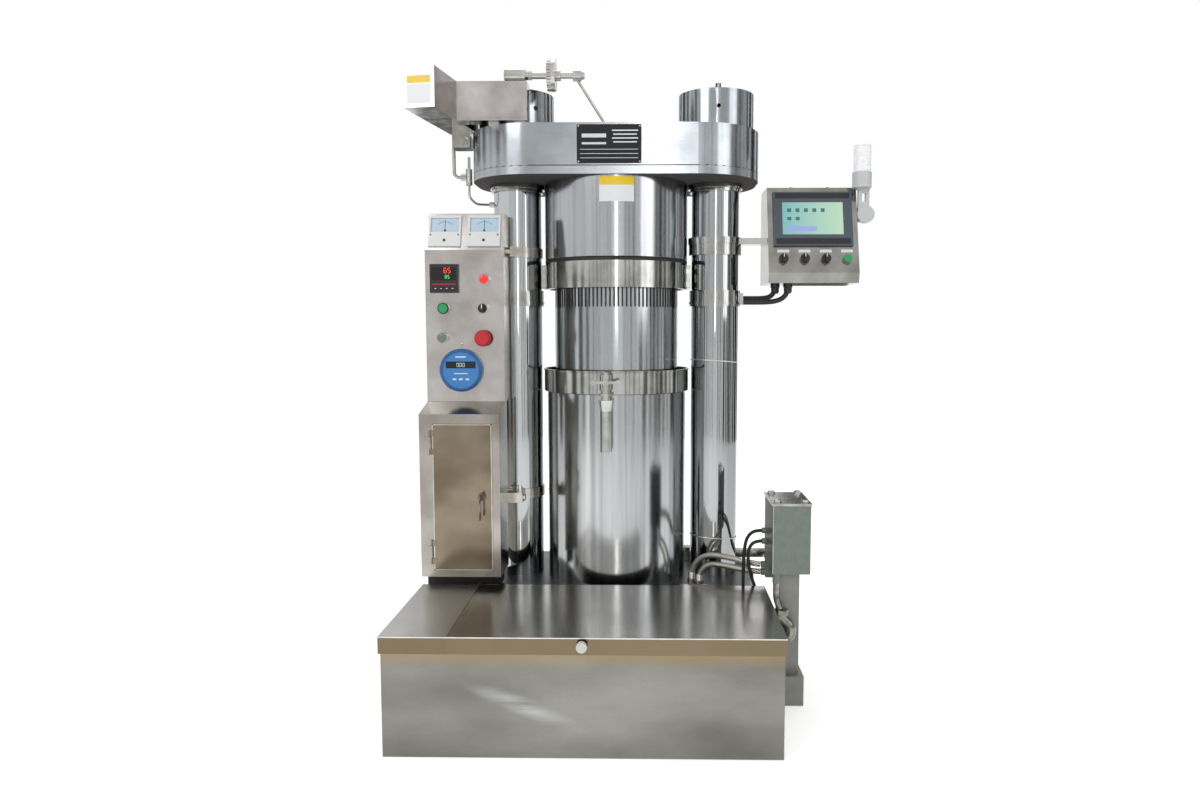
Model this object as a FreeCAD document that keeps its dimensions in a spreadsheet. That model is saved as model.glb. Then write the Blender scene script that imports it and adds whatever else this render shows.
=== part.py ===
"""A two-column hydraulic oil press for seeds and nuts, in millimetres.

The vertical axis of the press is x = 0, y = 0, the floor is z = 0 and the front
faces -Y. Every size named below is a cell of the spreadsheet, and the pieces
are bound to those cells.
"""
import FreeCAD, Part
import math
import os
import re

import Sketcher
from FreeCAD import Placement, Rotation, Vector

# Pressing chamber
barrel_r_out = 184.5  # outer radius of the barrel
barrel_wall = 24.1  # thickness of the barrel wall
barrel_bore = barrel_r_out - barrel_wall  # bore radius of the barrel
barrel_bottom = 1049  # height of the lower edge of the barrel
neck_step = 11.5  # step from the barrel in to its neck
neck_r_out = barrel_r_out - neck_step  # radius of the neck inside the clamp ring
neck_bottom = 984  # height of the lower end of the neck
ring_bottom = 976  # height of the lower edge of the clamp ring
ring_top = 1041  # height of the upper edge of the clamp ring
ring_split = 3  # half of the gap between the two ring halves
ear_reach = 8.5  # reach of a clamp ear past the ring
ear_x = barrel_r_out + ear_reach  # reach of a clamp ear from the press axis
ear_deep = 20  # thickness of a clamp ear
ring_bolt_r = 5  # radius of a clamp bolt
head_high = 30  # thickness of the pressure disc in the barrel

# Frame and columns
frame_high = 70  # height of the floor rails
rail_wide = 80  # width of a floor rail
bed_high = 160  # height of the lower crosshead
bed_deep = 370  # depth of the lower crosshead
bed_corner = 150  # corner radius of the lower crosshead
column_r_out = 61  # radius of a column
column_gap = 11.5  # gap between the barrel and a column
column_x = barrel_r_out + column_gap + column_r_out  # distance of a column from the press axis
rail_over = 143  # reach of a floor rail past a column's axis
frame_long = 2 * (column_x + rail_over)  # length of the two floor rails
column_top = 1440  # height of the upper end of a column
column_bottom = 15  # height of the lower end of a column
nut_high = 50  # height of a column nut
nut_r_out = 84  # corner radius of a column nut
skid_wide = 60  # width of a skid under the tank
skid_high = 10  # thickness of a skid under the tank
anchor_r_out = 9  # radius of an anchor bolt hole
anchor_inset = 25  # anchor hole from the end of its rail

# Top beam
beam_bottom = 1244  # height of the underside of the beam
beam_over = 105  # reach of a crosshead past a column's axis
beam_long = 2 * (column_x + beam_over)  # length of the beam over its round ends
beam_deep = 380  # depth of the beam
beam_corner = 160  # corner radius of the beam in plan
flange_high = 19.5  # thickness of the lower flange of the beam
clad_high = 100  # height of the polished cladding
clad_wall = 3  # sheet thickness of the cladding
seam = 0.5  # open seam between flange and cladding
cover_r_out = 96  # radius of a nut cover
cover_high = 104  # height of a nut cover
cover_wall = 3  # wall of a nut cover
shoulder_r_out = 70  # radius of the shoulder ring under the beam
shoulder_high = 20  # height of the shoulder ring
collar_r_out = 66  # radius of a column collar
collar_z = 933  # height of the lower edge of a column collar
collar_high = 40  # height of a column collar

# Ram and main cylinder
ram_gap = 0.4  # gap between the ram and the barrel bore
ram_r_out = barrel_bore - ram_gap  # outer radius of the ram
ram_wall = 7  # wall of the ram skirt
ram_top = 1060  # height of the top of the ram at rest
crown_high = 62  # thickness of the ram crown
skirt_bottom = 560  # height of the lower edge of the skirt at rest
slot_count = 96  # number of milled drain slots
slot_wide = 5.2  # width of a drain slot
slot_deep = 3.5  # depth of a drain slot
slot_bottom = 928  # height of the lower end of the slots
slot_top = 990  # height of the upper end of the slots
filter_high = 9  # thickness of the filter plate
plunger_r_out = 105  # radius of the plunger
cylinder_r_out = 150  # outer radius of the main cylinder
cylinder_top = 745  # height of the top of the main cylinder
cylinder_floor = 90  # thickness of the closed cylinder end
gland_high = 30  # height of the gland ring
run_gap = 0.3  # running clearance between moving pieces
shroud_r_out = 181  # outer radius of the shroud
shroud_wall = 3  # sheet thickness of the shroud
tray_r_out = 189  # outer radius of the oil tray
tray_bottom = 714  # height of the underside of the oil tray
tray_high = 58  # height of the oil tray
tray_wall = 3  # wall of the oil tray
tray_r_in = 163.5  # inner radius of the oil tray

# Oil outlet
outlet_x = -18  # place of the outlet across the press
outlet_y = -214  # place of the outlet pipe in front of the axis
outlet_z = 748  # height of the outlet cock
cock_r_out = 15  # radius of the outlet cock
outlet_pipe_r = 14  # outer radius of the outlet pipe
outlet_pipe_wall = 2  # wall of the outlet pipe
outlet_end = 579  # height of the open end of the outlet pipe
funnel_r_out = 18  # radius at the top of the outlet funnel
funnel_top = 704  # height of the top of the outlet funnel
funnel_high = 26  # height of the outlet funnel
wing_long = 76  # span of the cock handle

# Tank
tank_left = -461  # left side of the tank
tank_long = 823  # length of the tank
tank_front = -588  # front of the tank
tank_deep = 360  # depth of the tank
tank_high = 252  # height of the tank
tank_wall = 2.5  # sheet thickness of the tank
gland_in = 46  # first lead gland from the right side of the tank
gland_step = 34  # distance from gland to gland
lid_over = 4  # reach of the lid past the tank
lid_lip = 36  # height of the folded lip of the lid
lid_sheet = 2.5  # sheet thickness of the lid
hinge_y = -219  # lid hinge axis from the press axis
hinge_r_out = 5  # radius of a hinge knuckle
knob_r_out = 11  # radius of the lid knob
motor_r_out = 80  # radius of the pump motor
motor_high = 150  # height of the pump motor

# Control cabinet
cabinet_left = -465  # left side of the cabinet
cabinet_wide = 193  # width of the cabinet
cabinet_wall = 2  # sheet thickness of the cabinet
cabinet_bottom = 276  # height of the underside of the cabinet
cabinet_front = -238  # front of the lower cabinet
cabinet_back = -120  # back of the lower cabinet
cabinet_top = 672  # height of the front edge of the sloping top
ledge_z = 695  # height where the upper housing starts
panel_front = -150  # front of the control panel
housing_back = -66  # back of the upper housing
panel_top = 1068  # height of the bend below the meters
housing_top = 1159  # height of the top of the housing
meter_lean = 28  # how far the meter face leans back
door_x = -435  # hinge side of the door
door_z = 292  # height of the lower edge of the door
door_wide = 145  # width of the door
door_high = 357  # height of the door
door_thick = 2  # sheet thickness of the door
door_lap = 8  # lap of the door over its opening
lock_x = -315  # place of the lock across the press
lock_z = 473  # height of the lock
meter_side = 80  # side of a square panel meter
bezel_r_out = 14.5  # radius of a push button bezel
bezel_bore = 11.3  # bore radius of a push button bezel
bezel_high = 10  # height of a push button bezel
stop_r_out = 20  # radius of the emergency stop head
gauge_r_out = 53  # radius of the round pressure display
controller_side = 70  # side of the temperature controller
band_high = 25  # height of a cabinet clamp band
band_thick = 3.5  # thickness of a cabinet clamp band
band_upper_z = 1057  # height of the upper clamp band
band_lower_z = 434  # height of the lower clamp band

# Drive on the beam
drive_z = 1378  # height of the underside of the drive housing
drive_high = 93  # height of the drive housing
drive_wide = 75  # width of the long box
drive_long = 290  # length of the long box
drive_turn = 9  # degrees that the long box turns inward
cross_x = -390  # left end of the cross box
cross_long = 180  # length of the cross box
cross_deep = 46  # depth of the cross box
cross_front = -150  # front of the cross box
spindle_y = -127  # axis of the hand spindle
spindle_r_out = 8  # radius of the hand spindle
hub_r_out = 18  # radius of the spindle hub
wheel_r_out = 38  # radius of the hand wheel
wheel_wide = 20  # width of the hand wheel
wheel_notches = 16  # number of grip notches in the wheel
line_r_out = 4.3  # radius of the oil line

# Operator console
arm_z = 1092  # height of the underside of the swing arm
arm_high = 16  # thickness of the swing arm
arm_r_out = 70  # radius of the arm hub
arm_wide = 42  # width of the arm bar
rest_r_out = 68  # radius of the collar that carries the arm
rest_high = 28  # height of the collar that carries the arm
console_x = 390  # left side of the console
console_wide = 230  # width of the console
console_bottom = 991  # height of the underside of the console
console_bend = 26  # height of the lower lip of the console
console_face = 230  # length of the leaning face
console_lean = 15.6  # degrees that the face leans back
console_front = -60  # front of the lower lip
console_back = 110  # back of the console
console_wall = 2  # sheet thickness of the console
screen_wide = 202  # width of the touch panel
screen_high = 146  # height of the touch panel
screen_up = 70  # lower edge of the touch panel above the bend
knob_up = 36  # knob row above the bend
knob_step = 54  # distance from knob to knob
knob_first = 38  # first knob from the left side
dial_r_out = 12  # radius of a console knob
pivot_x = 642  # lamp pivot across the press
pivot_z = 1168  # height of the lamp pivot
pivot_r_out = 22  # radius of the lamp pivot disc
lens_r_out = 21.5  # radius of the lamp lens
cable_r_out = 6.5  # radius of a console cable

# Valve box and hoses
valve_x = 370  # left side of the valve box
valve_front = -330  # front of the valve box
valve_wide = 87  # width of the valve box
valve_deep = 140  # depth of the valve box
valve_z = 312  # height of the underside of the valve box
valve_high = 165  # height of the valve box
valve_wall = 3  # wall of the valve box
post_inset = 20  # post from the left side of the valve box
post_wide = 46  # width of the post
post_deep = 60  # depth of the post
pipe_r_out = 14  # radius of the return pipe
hose_r_out = 7  # radius of a braided hose
lead_r_out = 4  # radius of a black lead
port_y = -200  # hose ports from the press axis
lead_y = -215  # black leads from the press axis
seat_gap = 0.3  # seat clearance between neighbouring pieces

SIZES = {name: value for name, value in globals().items() if type(value) in (int, float)}

doc = FreeCAD.newDocument("oil_press")
sheet = doc.addObject("Spreadsheet::Sheet", "Sizes")


def fill_sheet():
    """Writes each size with its name on a row of its own."""
    for row, (name, value) in enumerate(SIZES.items(), 1):
        sheet.set(f"A{row}", name)
        sheet.set(f"B{row}", str(value))
        sheet.setAlias(f"B{row}", name)
    doc.recompute()


fill_sheet()


def size(name):
    """The value of one cell."""
    return float(sheet.get(name))


def formula(text):
    """A formula in size names, as the document writes it."""
    return re.sub(r"[a-z_]+", lambda m: "Sizes." + m[0] if m[0] in SIZES else m[0], str(text))


def bind(thing, **formulas):
    for field, text in formulas.items():
        thing.setExpression(field, formula(text))
    return thing


def place(thing, x=0, y=0, z=0, turn=None, axis=(0, 0, 1)):
    """Puts a thing at formulas x, y, z, turned by a formula in degrees."""
    if turn is not None:
        thing.Placement = Placement(Vector(), Rotation(Vector(*axis), 1))
        thing.setExpression(".Placement.Rotation.Angle", formula(turn))
    for field, text in (("x", x), ("y", y), ("z", z)):
        if text != 0:
            thing.setExpression(f".Placement.Base.{field}", formula(text))
    return thing


def add(kind, name="Piece"):
    return doc.addObject(kind, name)


def block(x, y, z, long, deep, high):
    return place(bind(add("Part::Box", "Block"), Length=long, Width=deep, Height=high), x, y, z)


def middle(x, y, z, long, deep, high):
    """A block centred on x and y."""
    return block(f"{x} - ({long}) / 2", f"{y} - ({deep}) / 2", z, long, deep, high)


AXES = {"z": None, "x": (90, (0, 1, 0)), "-y": (90, (1, 0, 0)), "y": (-90, (1, 0, 0))}


def lay(thing, x, y, z, axis):
    """Places a round piece so that its length runs along the named axis."""
    turn = AXES[axis]
    if turn:
        return place(thing, x, y, z, turn[0], turn[1])
    return place(thing, x, y, z)


def rod(x, y, z, radius, high, axis="z"):
    return lay(bind(add("Part::Cylinder", "Rod"), Radius=radius, Height=high), x, y, z, axis)


def taper(x, y, z, radius, end_radius, high, axis="z"):
    thing = bind(add("Part::Cone", "Taper"), Radius1=radius, Radius2=end_radius, Height=high)
    return lay(thing, x, y, z, axis)


def hexagon(x, y, z, radius, high, axis="z"):
    thing = bind(add("Part::Prism", "Hexagon"), Circumradius=radius, Height=high)
    thing.Polygon = 6
    return lay(thing, x, y, z, axis)


def group(*things):
    """Several pieces kept as separate solids."""
    if len(things) == 1:
        return things[0]
    whole = add("Part::Compound", "Group")
    whole.Links = list(things)
    return whole


def join(*things):
    whole = add("Part::MultiFuse", "Join")
    whole.Shapes = list(things)
    whole.Refine = True
    return whole


def cut(base, *tools):
    whole = add("Part::Cut", "Cut")
    whole.Base = base
    whole.Tool = group(*tools)
    whole.Refine = True
    return whole


def tube(x, y, z, radius, bore, high, axis="z"):
    return cut(rod(x, y, z, radius, high, axis), rod(x, y, z, bore, high, axis))


def solid(label, shape):
    """A piece whose shape is set by code."""
    thing = add("Part::Feature", label)
    thing.Shape = shape
    return thing


NODES = []


def node(label, thing):
    """Names a finished sub-part."""
    thing.Label = label
    NODES.append(thing)
    return thing


def plane(body, role):
    for feature in body.Origin.OriginFeatures:
        if feature.Role == role:
            return feature
    raise RuntimeError(role)


def outline(body, role, points, rise=None):
    """A closed sketch through points, each a pair of formulas, fixed by its sizes."""
    sketch = body.newObject("Sketcher::SketchObject", "Outline")
    sketch.AttachmentSupport = [(plane(body, role), "")]
    sketch.MapMode = "FlatFace"
    if rise is not None:
        sketch.setExpression(".AttachmentOffset.Base.z", formula(rise))
    count = len(points)
    spots = []
    for i in range(count):
        turn = 2 * math.pi * i / count
        spots.append(Vector(100 * math.cos(turn), 100 * math.sin(turn), 0))
    for i in range(count):
        sketch.addGeometry(Part.LineSegment(spots[i], spots[(i + 1) % count]), False)
    for i in range(count):
        sketch.addConstraint(Sketcher.Constraint("Coincident", i, 2, (i + 1) % count, 1))
    for i, point in enumerate(points):
        for kind, text in zip(("DistanceX", "DistanceY"), point):
            index = sketch.addConstraint(Sketcher.Constraint(kind, -1, 1, i, 1, 10.0))
            sketch.setExpression(f"Constraints[{index}]", formula(text))
    doc.recompute()
    return sketch


def new_body():
    return add("PartDesign::Body", "Body")


def pad(body, sketch, length, backwards=False):
    feature = body.newObject("PartDesign::Pad", "Pad")
    feature.Profile = sketch
    feature.Reversed = backwards
    bind(feature, Length=length)
    doc.recompute()
    return feature


def pocket(body, sketch, length, backwards=False):
    feature = body.newObject("PartDesign::Pocket", "Pocket")
    feature.Profile = sketch
    before = body.Shape.Volume
    feature.Reversed = backwards
    bind(feature, Length=length)
    doc.recompute()
    if not body.Shape.Volume < before:
        raise RuntimeError("a pocket cuts nothing")
    return feature


def turned(points):
    """A body turned about the Z axis from a half section of (radius, height) points."""
    body = new_body()
    sketch = outline(body, "XZ_Plane", points)
    feature = body.newObject("PartDesign::Revolution", "Turn")
    feature.Profile = sketch
    feature.ReferenceAxis = (sketch, ["V_Axis"])
    feature.Angle = 360
    doc.recompute()
    return body


def side_profile(points, left, wide):
    """A body with an outline of (y, z) points, padded along X from left."""
    body = new_body()
    sketch = outline(body, "YZ_Plane", points, left)
    pad(body, sketch, wide)
    return body


def rounded_slab(long, deep, high, corner):
    """A slab with round corners in plan, centred on the Z axis."""
    body = new_body()
    half_x = f"({long}) / 2"
    half_y = f"({deep}) / 2"
    corners = [(-1, -1), (1, -1), (1, 1), (-1, 1)]
    points = [(f"{i} * {half_x}", f"{j} * {half_y}") for i, j in corners]
    slab = pad(body, outline(body, "XY_Plane", points), high)
    upright = []
    for number, edge in enumerate(body.Shape.Edges, 1):
        if abs(edge.tangentAt(edge.FirstParameter).z) > 0.9:
            upright.append(f"Edge{number}")
    feature = body.newObject("PartDesign::Fillet", "Corners")
    feature.Base = (slab, upright)
    bind(feature, Radius=corner)
    doc.recompute()
    return body


def base_frame():
    """Floor rails, their end ties, the skids under the tank and the side foot with its post."""
    rail_y = "bed_deep / 2 - rail_wide"
    rails = []
    for side in (f"-({rail_y}) - rail_wide", rail_y):
        rails.append(block("-frame_long / 2", side, 0, "frame_long", "rail_wide", "frame_high"))
    for end in ("-frame_long / 2", "-rail_wide / 4", "frame_long / 2 - rail_wide / 2"):
        rails.append(block(end, f"-({rail_y})", 0, "rail_wide / 2", f"2 * ({rail_y})", "frame_high"))
    for skid_x in ("-column_x", "column_x - skid_wide"):
        rails.append(block(skid_x, "tank_front + 40", 0, "skid_wide",
                           "-bed_deep / 2 + rail_wide / 2 - tank_front - 40", "skid_high"))
    post_x = "valve_x + post_inset"
    foot_long = f"{post_x} + post_wide + 10 - frame_long / 2 + 20"
    rails.append(block("frame_long / 2 - 20", "valve_front", 0, foot_long, "-valve_front", "frame_high"))
    rails.append(block(post_x, "valve_front + 20", 0, "post_wide", "post_deep", "valve_z"))
    holes = []
    for x in ("-frame_long / 2 + anchor_inset", "frame_long / 2 - anchor_inset"):
        for y in ("-bed_deep / 2 + rail_wide / 2", "bed_deep / 2 - rail_wide / 2"):
            holes.append(rod(x, y, 0, "anchor_r_out", "frame_high"))
    node("base_frame", cut(join(*rails), *holes))


def machine_bed():
    """The lower crosshead, a thick slab bored for the two columns."""
    slab = place(rounded_slab("beam_long", "bed_deep", "bed_high", "bed_corner"), z="frame_high")
    bore = "column_r_out + seat_gap"
    bores = [rod(f"{side} * column_x", 0, "frame_high", bore, "bed_high") for side in (-1, 1)]
    node("machine_bed", cut(slab, *bores))


def columns():
    """Two polished columns, and the nuts that hold the bed and the beam on them."""
    long = "column_top - column_bottom"
    posts = [rod(f"{side} * column_x", 0, "column_bottom", "column_r_out", long) for side in (-1, 1)]
    node("columns", group(*posts))
    nuts = []
    for side in (-1, 1):
        for z in ("frame_high - nut_high", "beam_bottom + flange_high + seam + clad_high"):
            nuts.append(cut(hexagon(f"{side} * column_x", 0, z, "nut_r_out", "nut_high"),
                            rod(f"{side} * column_x", 0, z, "column_r_out + seat_gap", "nut_high")))
    node("column_nuts", group(*nuts))


def column_collars():
    """Shoulder rings under the beam, the left cable collar and the collar that carries the arm."""
    bore = "column_r_out + seat_gap"
    rings = []
    for side in (-1, 1):
        x = f"{side} * column_x"
        rings.append(join(
            tube(x, 0, "beam_bottom - shoulder_high * 0.6", "shoulder_r_out", bore, "shoulder_high * 0.6"),
            tube(x, 0, "beam_bottom - shoulder_high", "collar_r_out", bore, "shoulder_high * 0.5")))
    rings.append(join(tube("-column_x", 0, "collar_z", "collar_r_out", bore, "collar_high"),
                      tube("-column_x", 0, "collar_z + 5", "collar_r_out + 1.5", bore, 6)))
    rings.append(tube("column_x", 0, "arm_z - run_gap - rest_high", "rest_r_out", bore, "rest_high"))
    node("column_collars", group(*rings))


def top_beam():
    """The upper crosshead: a wide lower flange and a narrower block inside the cladding."""
    flange = rounded_slab("beam_long", "beam_deep", "flange_high", "beam_corner")
    inner = rounded_slab("beam_long - 2 * (clad_wall + 2)", "beam_deep - 2 * (clad_wall + 2)",
                         "flange_high + seam + clad_high - clad_wall - seat_gap", "beam_corner - clad_wall - 2")
    bore = "column_r_out + seat_gap"
    bores = [rod(f"{side} * column_x", 0, 0, bore, "flange_high + clad_high") for side in (-1, 1)]
    node("top_beam", place(cut(join(flange, inner), *bores), z="beam_bottom"))
    shell = rounded_slab("beam_long", "beam_deep", "clad_high", "beam_corner")
    hollow = rounded_slab("beam_long - 2 * clad_wall", "beam_deep - 2 * clad_wall",
                          "clad_high - clad_wall", "beam_corner - clad_wall")
    bores = [rod(f"{side} * column_x", 0, 0, bore, "clad_high") for side in (-1, 1)]
    node("beam_cladding", place(cut(shell, hollow, *bores), z="beam_bottom + flange_high + seam"))


BEAM_TOP = "beam_bottom + flange_high + seam + clad_high"


def nut_covers():
    """Drawn caps over the upper nuts, each with a stud on top and a small hole in front."""
    caps = []
    for side in (-1, 1):
        x = f"{side} * column_x"
        cap = cut(rod(x, 0, BEAM_TOP, "cover_r_out", "cover_high"),
                  rod(x, 0, BEAM_TOP, "cover_r_out - cover_wall", "cover_high - cover_wall"),
                  rod(x, "-cover_r_out + 2 * cover_wall", f"{BEAM_TOP} + cover_high * 0.58", 5,
                      "4 * cover_wall", "-y"))
        top = f"{BEAM_TOP} + cover_high"
        stud_y = "-cover_r_out * 0.72"
        stud = join(rod(x, stud_y, top, 4, 8), hexagon(x, stud_y, f"{top} + 7", 7, 9))
        caps.append(join(cap, stud))
    node("nut_covers", group(*caps))


def press_barrel():
    """The bored barrel under the beam, with a neck that the clamp ring holds."""
    points = [
        ("barrel_bore", "neck_bottom"), ("neck_r_out", "neck_bottom"),
        ("neck_r_out", "ring_top"), ("neck_r_out - 3", "ring_top + 1"),
        ("neck_r_out - 3", "barrel_bottom"), ("barrel_r_out - 2", "barrel_bottom"),
        ("barrel_r_out", "barrel_bottom + 2"), ("barrel_r_out", "beam_bottom"),
        ("barrel_bore", "beam_bottom"),
    ]
    node("press_barrel", turned(points))
    disc = rod(0, 0, "beam_bottom - head_high", "barrel_bore - seat_gap", "head_high")
    node("barrel_head", disc)


def clamp_ring():
    """Two half rings that close round the neck and are bolted together at the ears."""
    halves = []
    ring_high = "ring_top - ring_bottom"
    for side in (-1, 1):
        ring = tube(0, 0, "ring_bottom", "barrel_r_out", "neck_r_out + seat_gap", ring_high)
        inner = "neck_r_out + 5"
        ears = []
        for end in ("-ear_x", inner):
            ears.append(block(end, "-ear_deep - ring_split", "ring_bottom + 2", f"ear_x - ({inner})",
                              "2 * (ear_deep + ring_split)", f"{ring_high} - 4"))
        whole = join(ring, *ears)
        start = "-2 * barrel_r_out" if side > 0 else "-ring_split"
        deep = "2 * barrel_r_out + ring_split" if side > 0 else "2 * barrel_r_out"
        halves.append(cut(whole, block("-2 * barrel_r_out", start, "ring_bottom", "4 * barrel_r_out", deep,
                                       ring_high)))
    holes = []
    bolts = []
    for x in ("-ear_x + 6.5", "ear_x - 6.5"):
        for z in ("ring_bottom + 13", "ring_top - 19"):
            reach = "ear_deep + ring_split"
            holes.append(rod(x, f"-({reach}) - 1", z, "ring_bolt_r + seat_gap", f"2 * ({reach}) + 2", "y"))
            for start in (f"-({reach}) - 12", reach):
                holes.append(rod(x, start, z, "1.7 * ring_bolt_r", 12, "y"))
            shank = rod(x, f"-({reach})", z, "ring_bolt_r", f"2 * ({reach}) + 4", "y")
            head = hexagon(x, f"-({reach}) - 7", z, "1.5 * ring_bolt_r", 7, "y")
            nut = hexagon(x, reach, z, "1.5 * ring_bolt_r", 6, "y")
            bolts.append(join(shank, head, nut))
    node("clamp_ring", group(*[cut(half, *holes) for half in halves]))
    node("clamp_bolts", group(*bolts))


def ram():
    """The hollow ram with its ring of milled drain slots, its filter plate and its plunger."""
    crown = "ram_top - crown_high"
    points = [
        ("ram_r_out - ram_wall", "skirt_bottom"), ("ram_r_out", "skirt_bottom"),
        ("ram_r_out", "ram_top"), ("0", "ram_top"), ("0", crown), ("ram_r_out - ram_wall", crown),
    ]
    body = turned(points)
    half = "slot_wide / 2"
    shape = [
        (f"-{half}", "slot_bottom + slot_wide / 2"), ("-slot_wide / 5", "slot_bottom"),
        ("slot_wide / 5", "slot_bottom"), (half, "slot_bottom + slot_wide / 2"),
        (half, "slot_top"), (f"-{half}", "slot_top"),
    ]
    slot = pocket(body, outline(body, "XZ_Plane", shape, "ram_r_out + 1"), "slot_deep + 1")
    pattern = body.newObject("PartDesign::PolarPattern", "Slots")
    pattern.Originals = [slot]
    for feature in body.Origin.OriginFeatures:
        if feature.Role == "Z_Axis":
            pattern.Axis = (feature, [""])
    pattern.Angle = 360
    bind(pattern, Occurrences="slot_count")
    body.Tip = pattern
    doc.recompute()
    node("ram_head", body)
    node("filter_plate", rod(0, 0, "ram_top", "ram_r_out - 1.5", "filter_high"))
    foot = "bed_high + frame_high + cylinder_floor + 200"
    node("ram_plunger", rod(0, 0, foot, "plunger_r_out", f"{crown} - ({foot})"))


def main_cylinder():
    """The forged cylinder on the bed, its gland ring, the polished shroud and the oil tray."""
    low = "frame_high + bed_high"
    bore = "plunger_r_out + 4"
    points = [
        ("0", low), ("cylinder_r_out", low), ("cylinder_r_out", "cylinder_top"), (bore, "cylinder_top"),
        (bore, f"{low} + cylinder_floor"), ("0", f"{low} + cylinder_floor"),
    ]
    node("main_cylinder", turned(points))
    top = "cylinder_top + gland_high * 0.5"
    points = [
        ("plunger_r_out + run_gap", "cylinder_top - gland_high * 0.5"),
        (f"{bore} - seat_gap", "cylinder_top - gland_high * 0.5"), (f"{bore} - seat_gap", "cylinder_top"),
        ("cylinder_r_out - 6", "cylinder_top"), ("cylinder_r_out - 6", top), ("plunger_r_out + run_gap", top),
    ]
    node("cylinder_gland", turned(points))
    seat = "tray_bottom - seat_gap"
    points = [
        ("shroud_r_out - shroud_wall", f"{low} + 3"), ("shroud_r_out - 20", f"{low} + 3"),
        ("shroud_r_out - 20", low), ("shroud_r_out", low), ("shroud_r_out", seat),
        ("shroud_r_out - shroud_wall", seat),
    ]
    node("cylinder_shroud", turned(points))
    rim = "tray_bottom + tray_high"
    points = [
        ("tray_r_out - tray_wall", "tray_bottom"), ("tray_r_out - 1.5", "tray_bottom"),
        ("tray_r_out", "tray_bottom + 1.5"), ("tray_r_out", f"{rim} - 4"), ("tray_r_out + 1.5", f"{rim} - 3"),
        ("tray_r_out + 1.5", rim), ("tray_r_out - tray_wall", rim),
    ]
    wall = turned(points)
    floor = tube(0, 0, "tray_bottom", "tray_r_out - tray_wall", "tray_r_in + 2", "tray_wall")
    lip = tube(0, 0, "tray_bottom", "tray_r_in + 2", "tray_r_in", "tray_high - 6")
    hole = rod("outlet_x", "-tray_r_out + 8", "outlet_z", "cock_r_out - 7", 20, "-y")
    node("oil_tray", group(cut(wall, hole), floor, lip))


def outlet():
    """The cock on the tray, its clamp and funnel, the pipe below it and the wing handle."""
    skin = "tray_r_out - seat_gap"
    neck = rod("outlet_x", f"-({skin}) + tray_wall", "outlet_z", "cock_r_out - 7.5", 24, "-y")
    body = rod("outlet_x", "outlet_y", "outlet_z - 20", "cock_r_out", 38)
    cap = rod("outlet_x", "outlet_y", "outlet_z + 18", "cock_r_out - 5", 5)
    throat = rod("outlet_x", "outlet_y", "funnel_top", "cock_r_out - 4", "outlet_z - 20 - funnel_top")
    flange = rod("outlet_x", "outlet_y", "funnel_top + 10", "cock_r_out + 1.5", 6)
    low = "funnel_top - funnel_high"
    funnel = taper("outlet_x", "outlet_y", low, "outlet_pipe_r", "funnel_r_out", "funnel_high")
    pipe = rod("outlet_x", "outlet_y", "outlet_end", "outlet_pipe_r", f"{low} - outlet_end")
    spindle_seat = rod("outlet_x", "outlet_y - cock_r_out + 4", "outlet_z", 7, 8, "-y")
    bore = "outlet_pipe_r - outlet_pipe_wall"
    holes = [
        rod("outlet_x", "outlet_y", "outlet_end", bore, f"{low} - outlet_end + 12"),
        rod("outlet_x", "outlet_y", "outlet_end", "cock_r_out - 9", "outlet_z - outlet_end"),
        rod("outlet_x", f"-({skin}) + tray_wall", "outlet_z", "cock_r_out - 10", 24, "-y"),
        rod("outlet_x", "outlet_y - cock_r_out + 10", "outlet_z", 3.3, 16, "-y"),
    ]
    whole = join(neck, body, cap, throat, flange, funnel, pipe, spindle_seat)
    node("outlet_valve", cut(whole, *holes))
    front = "outlet_y - cock_r_out - 4"
    stem = rod("outlet_x", f"{front} + 10", "outlet_z", 3, "10 + 10", "-y")
    boss = rod("outlet_x", f"{front} - run_gap", "outlet_z", 7, 8, "-y")
    bar = middle("outlet_x", f"{front} - 5.5", "outlet_z - 3", "wing_long * 0.8", 5, 6)
    tips = [rod(f"outlet_x + {side} * wing_long * 0.4", f"{front} - 2", "outlet_z", "wing_long * 0.08", 8, "-y")
            for side in (-1, 1)]
    node("outlet_handle", join(stem, boss, bar, *tips))


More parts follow.
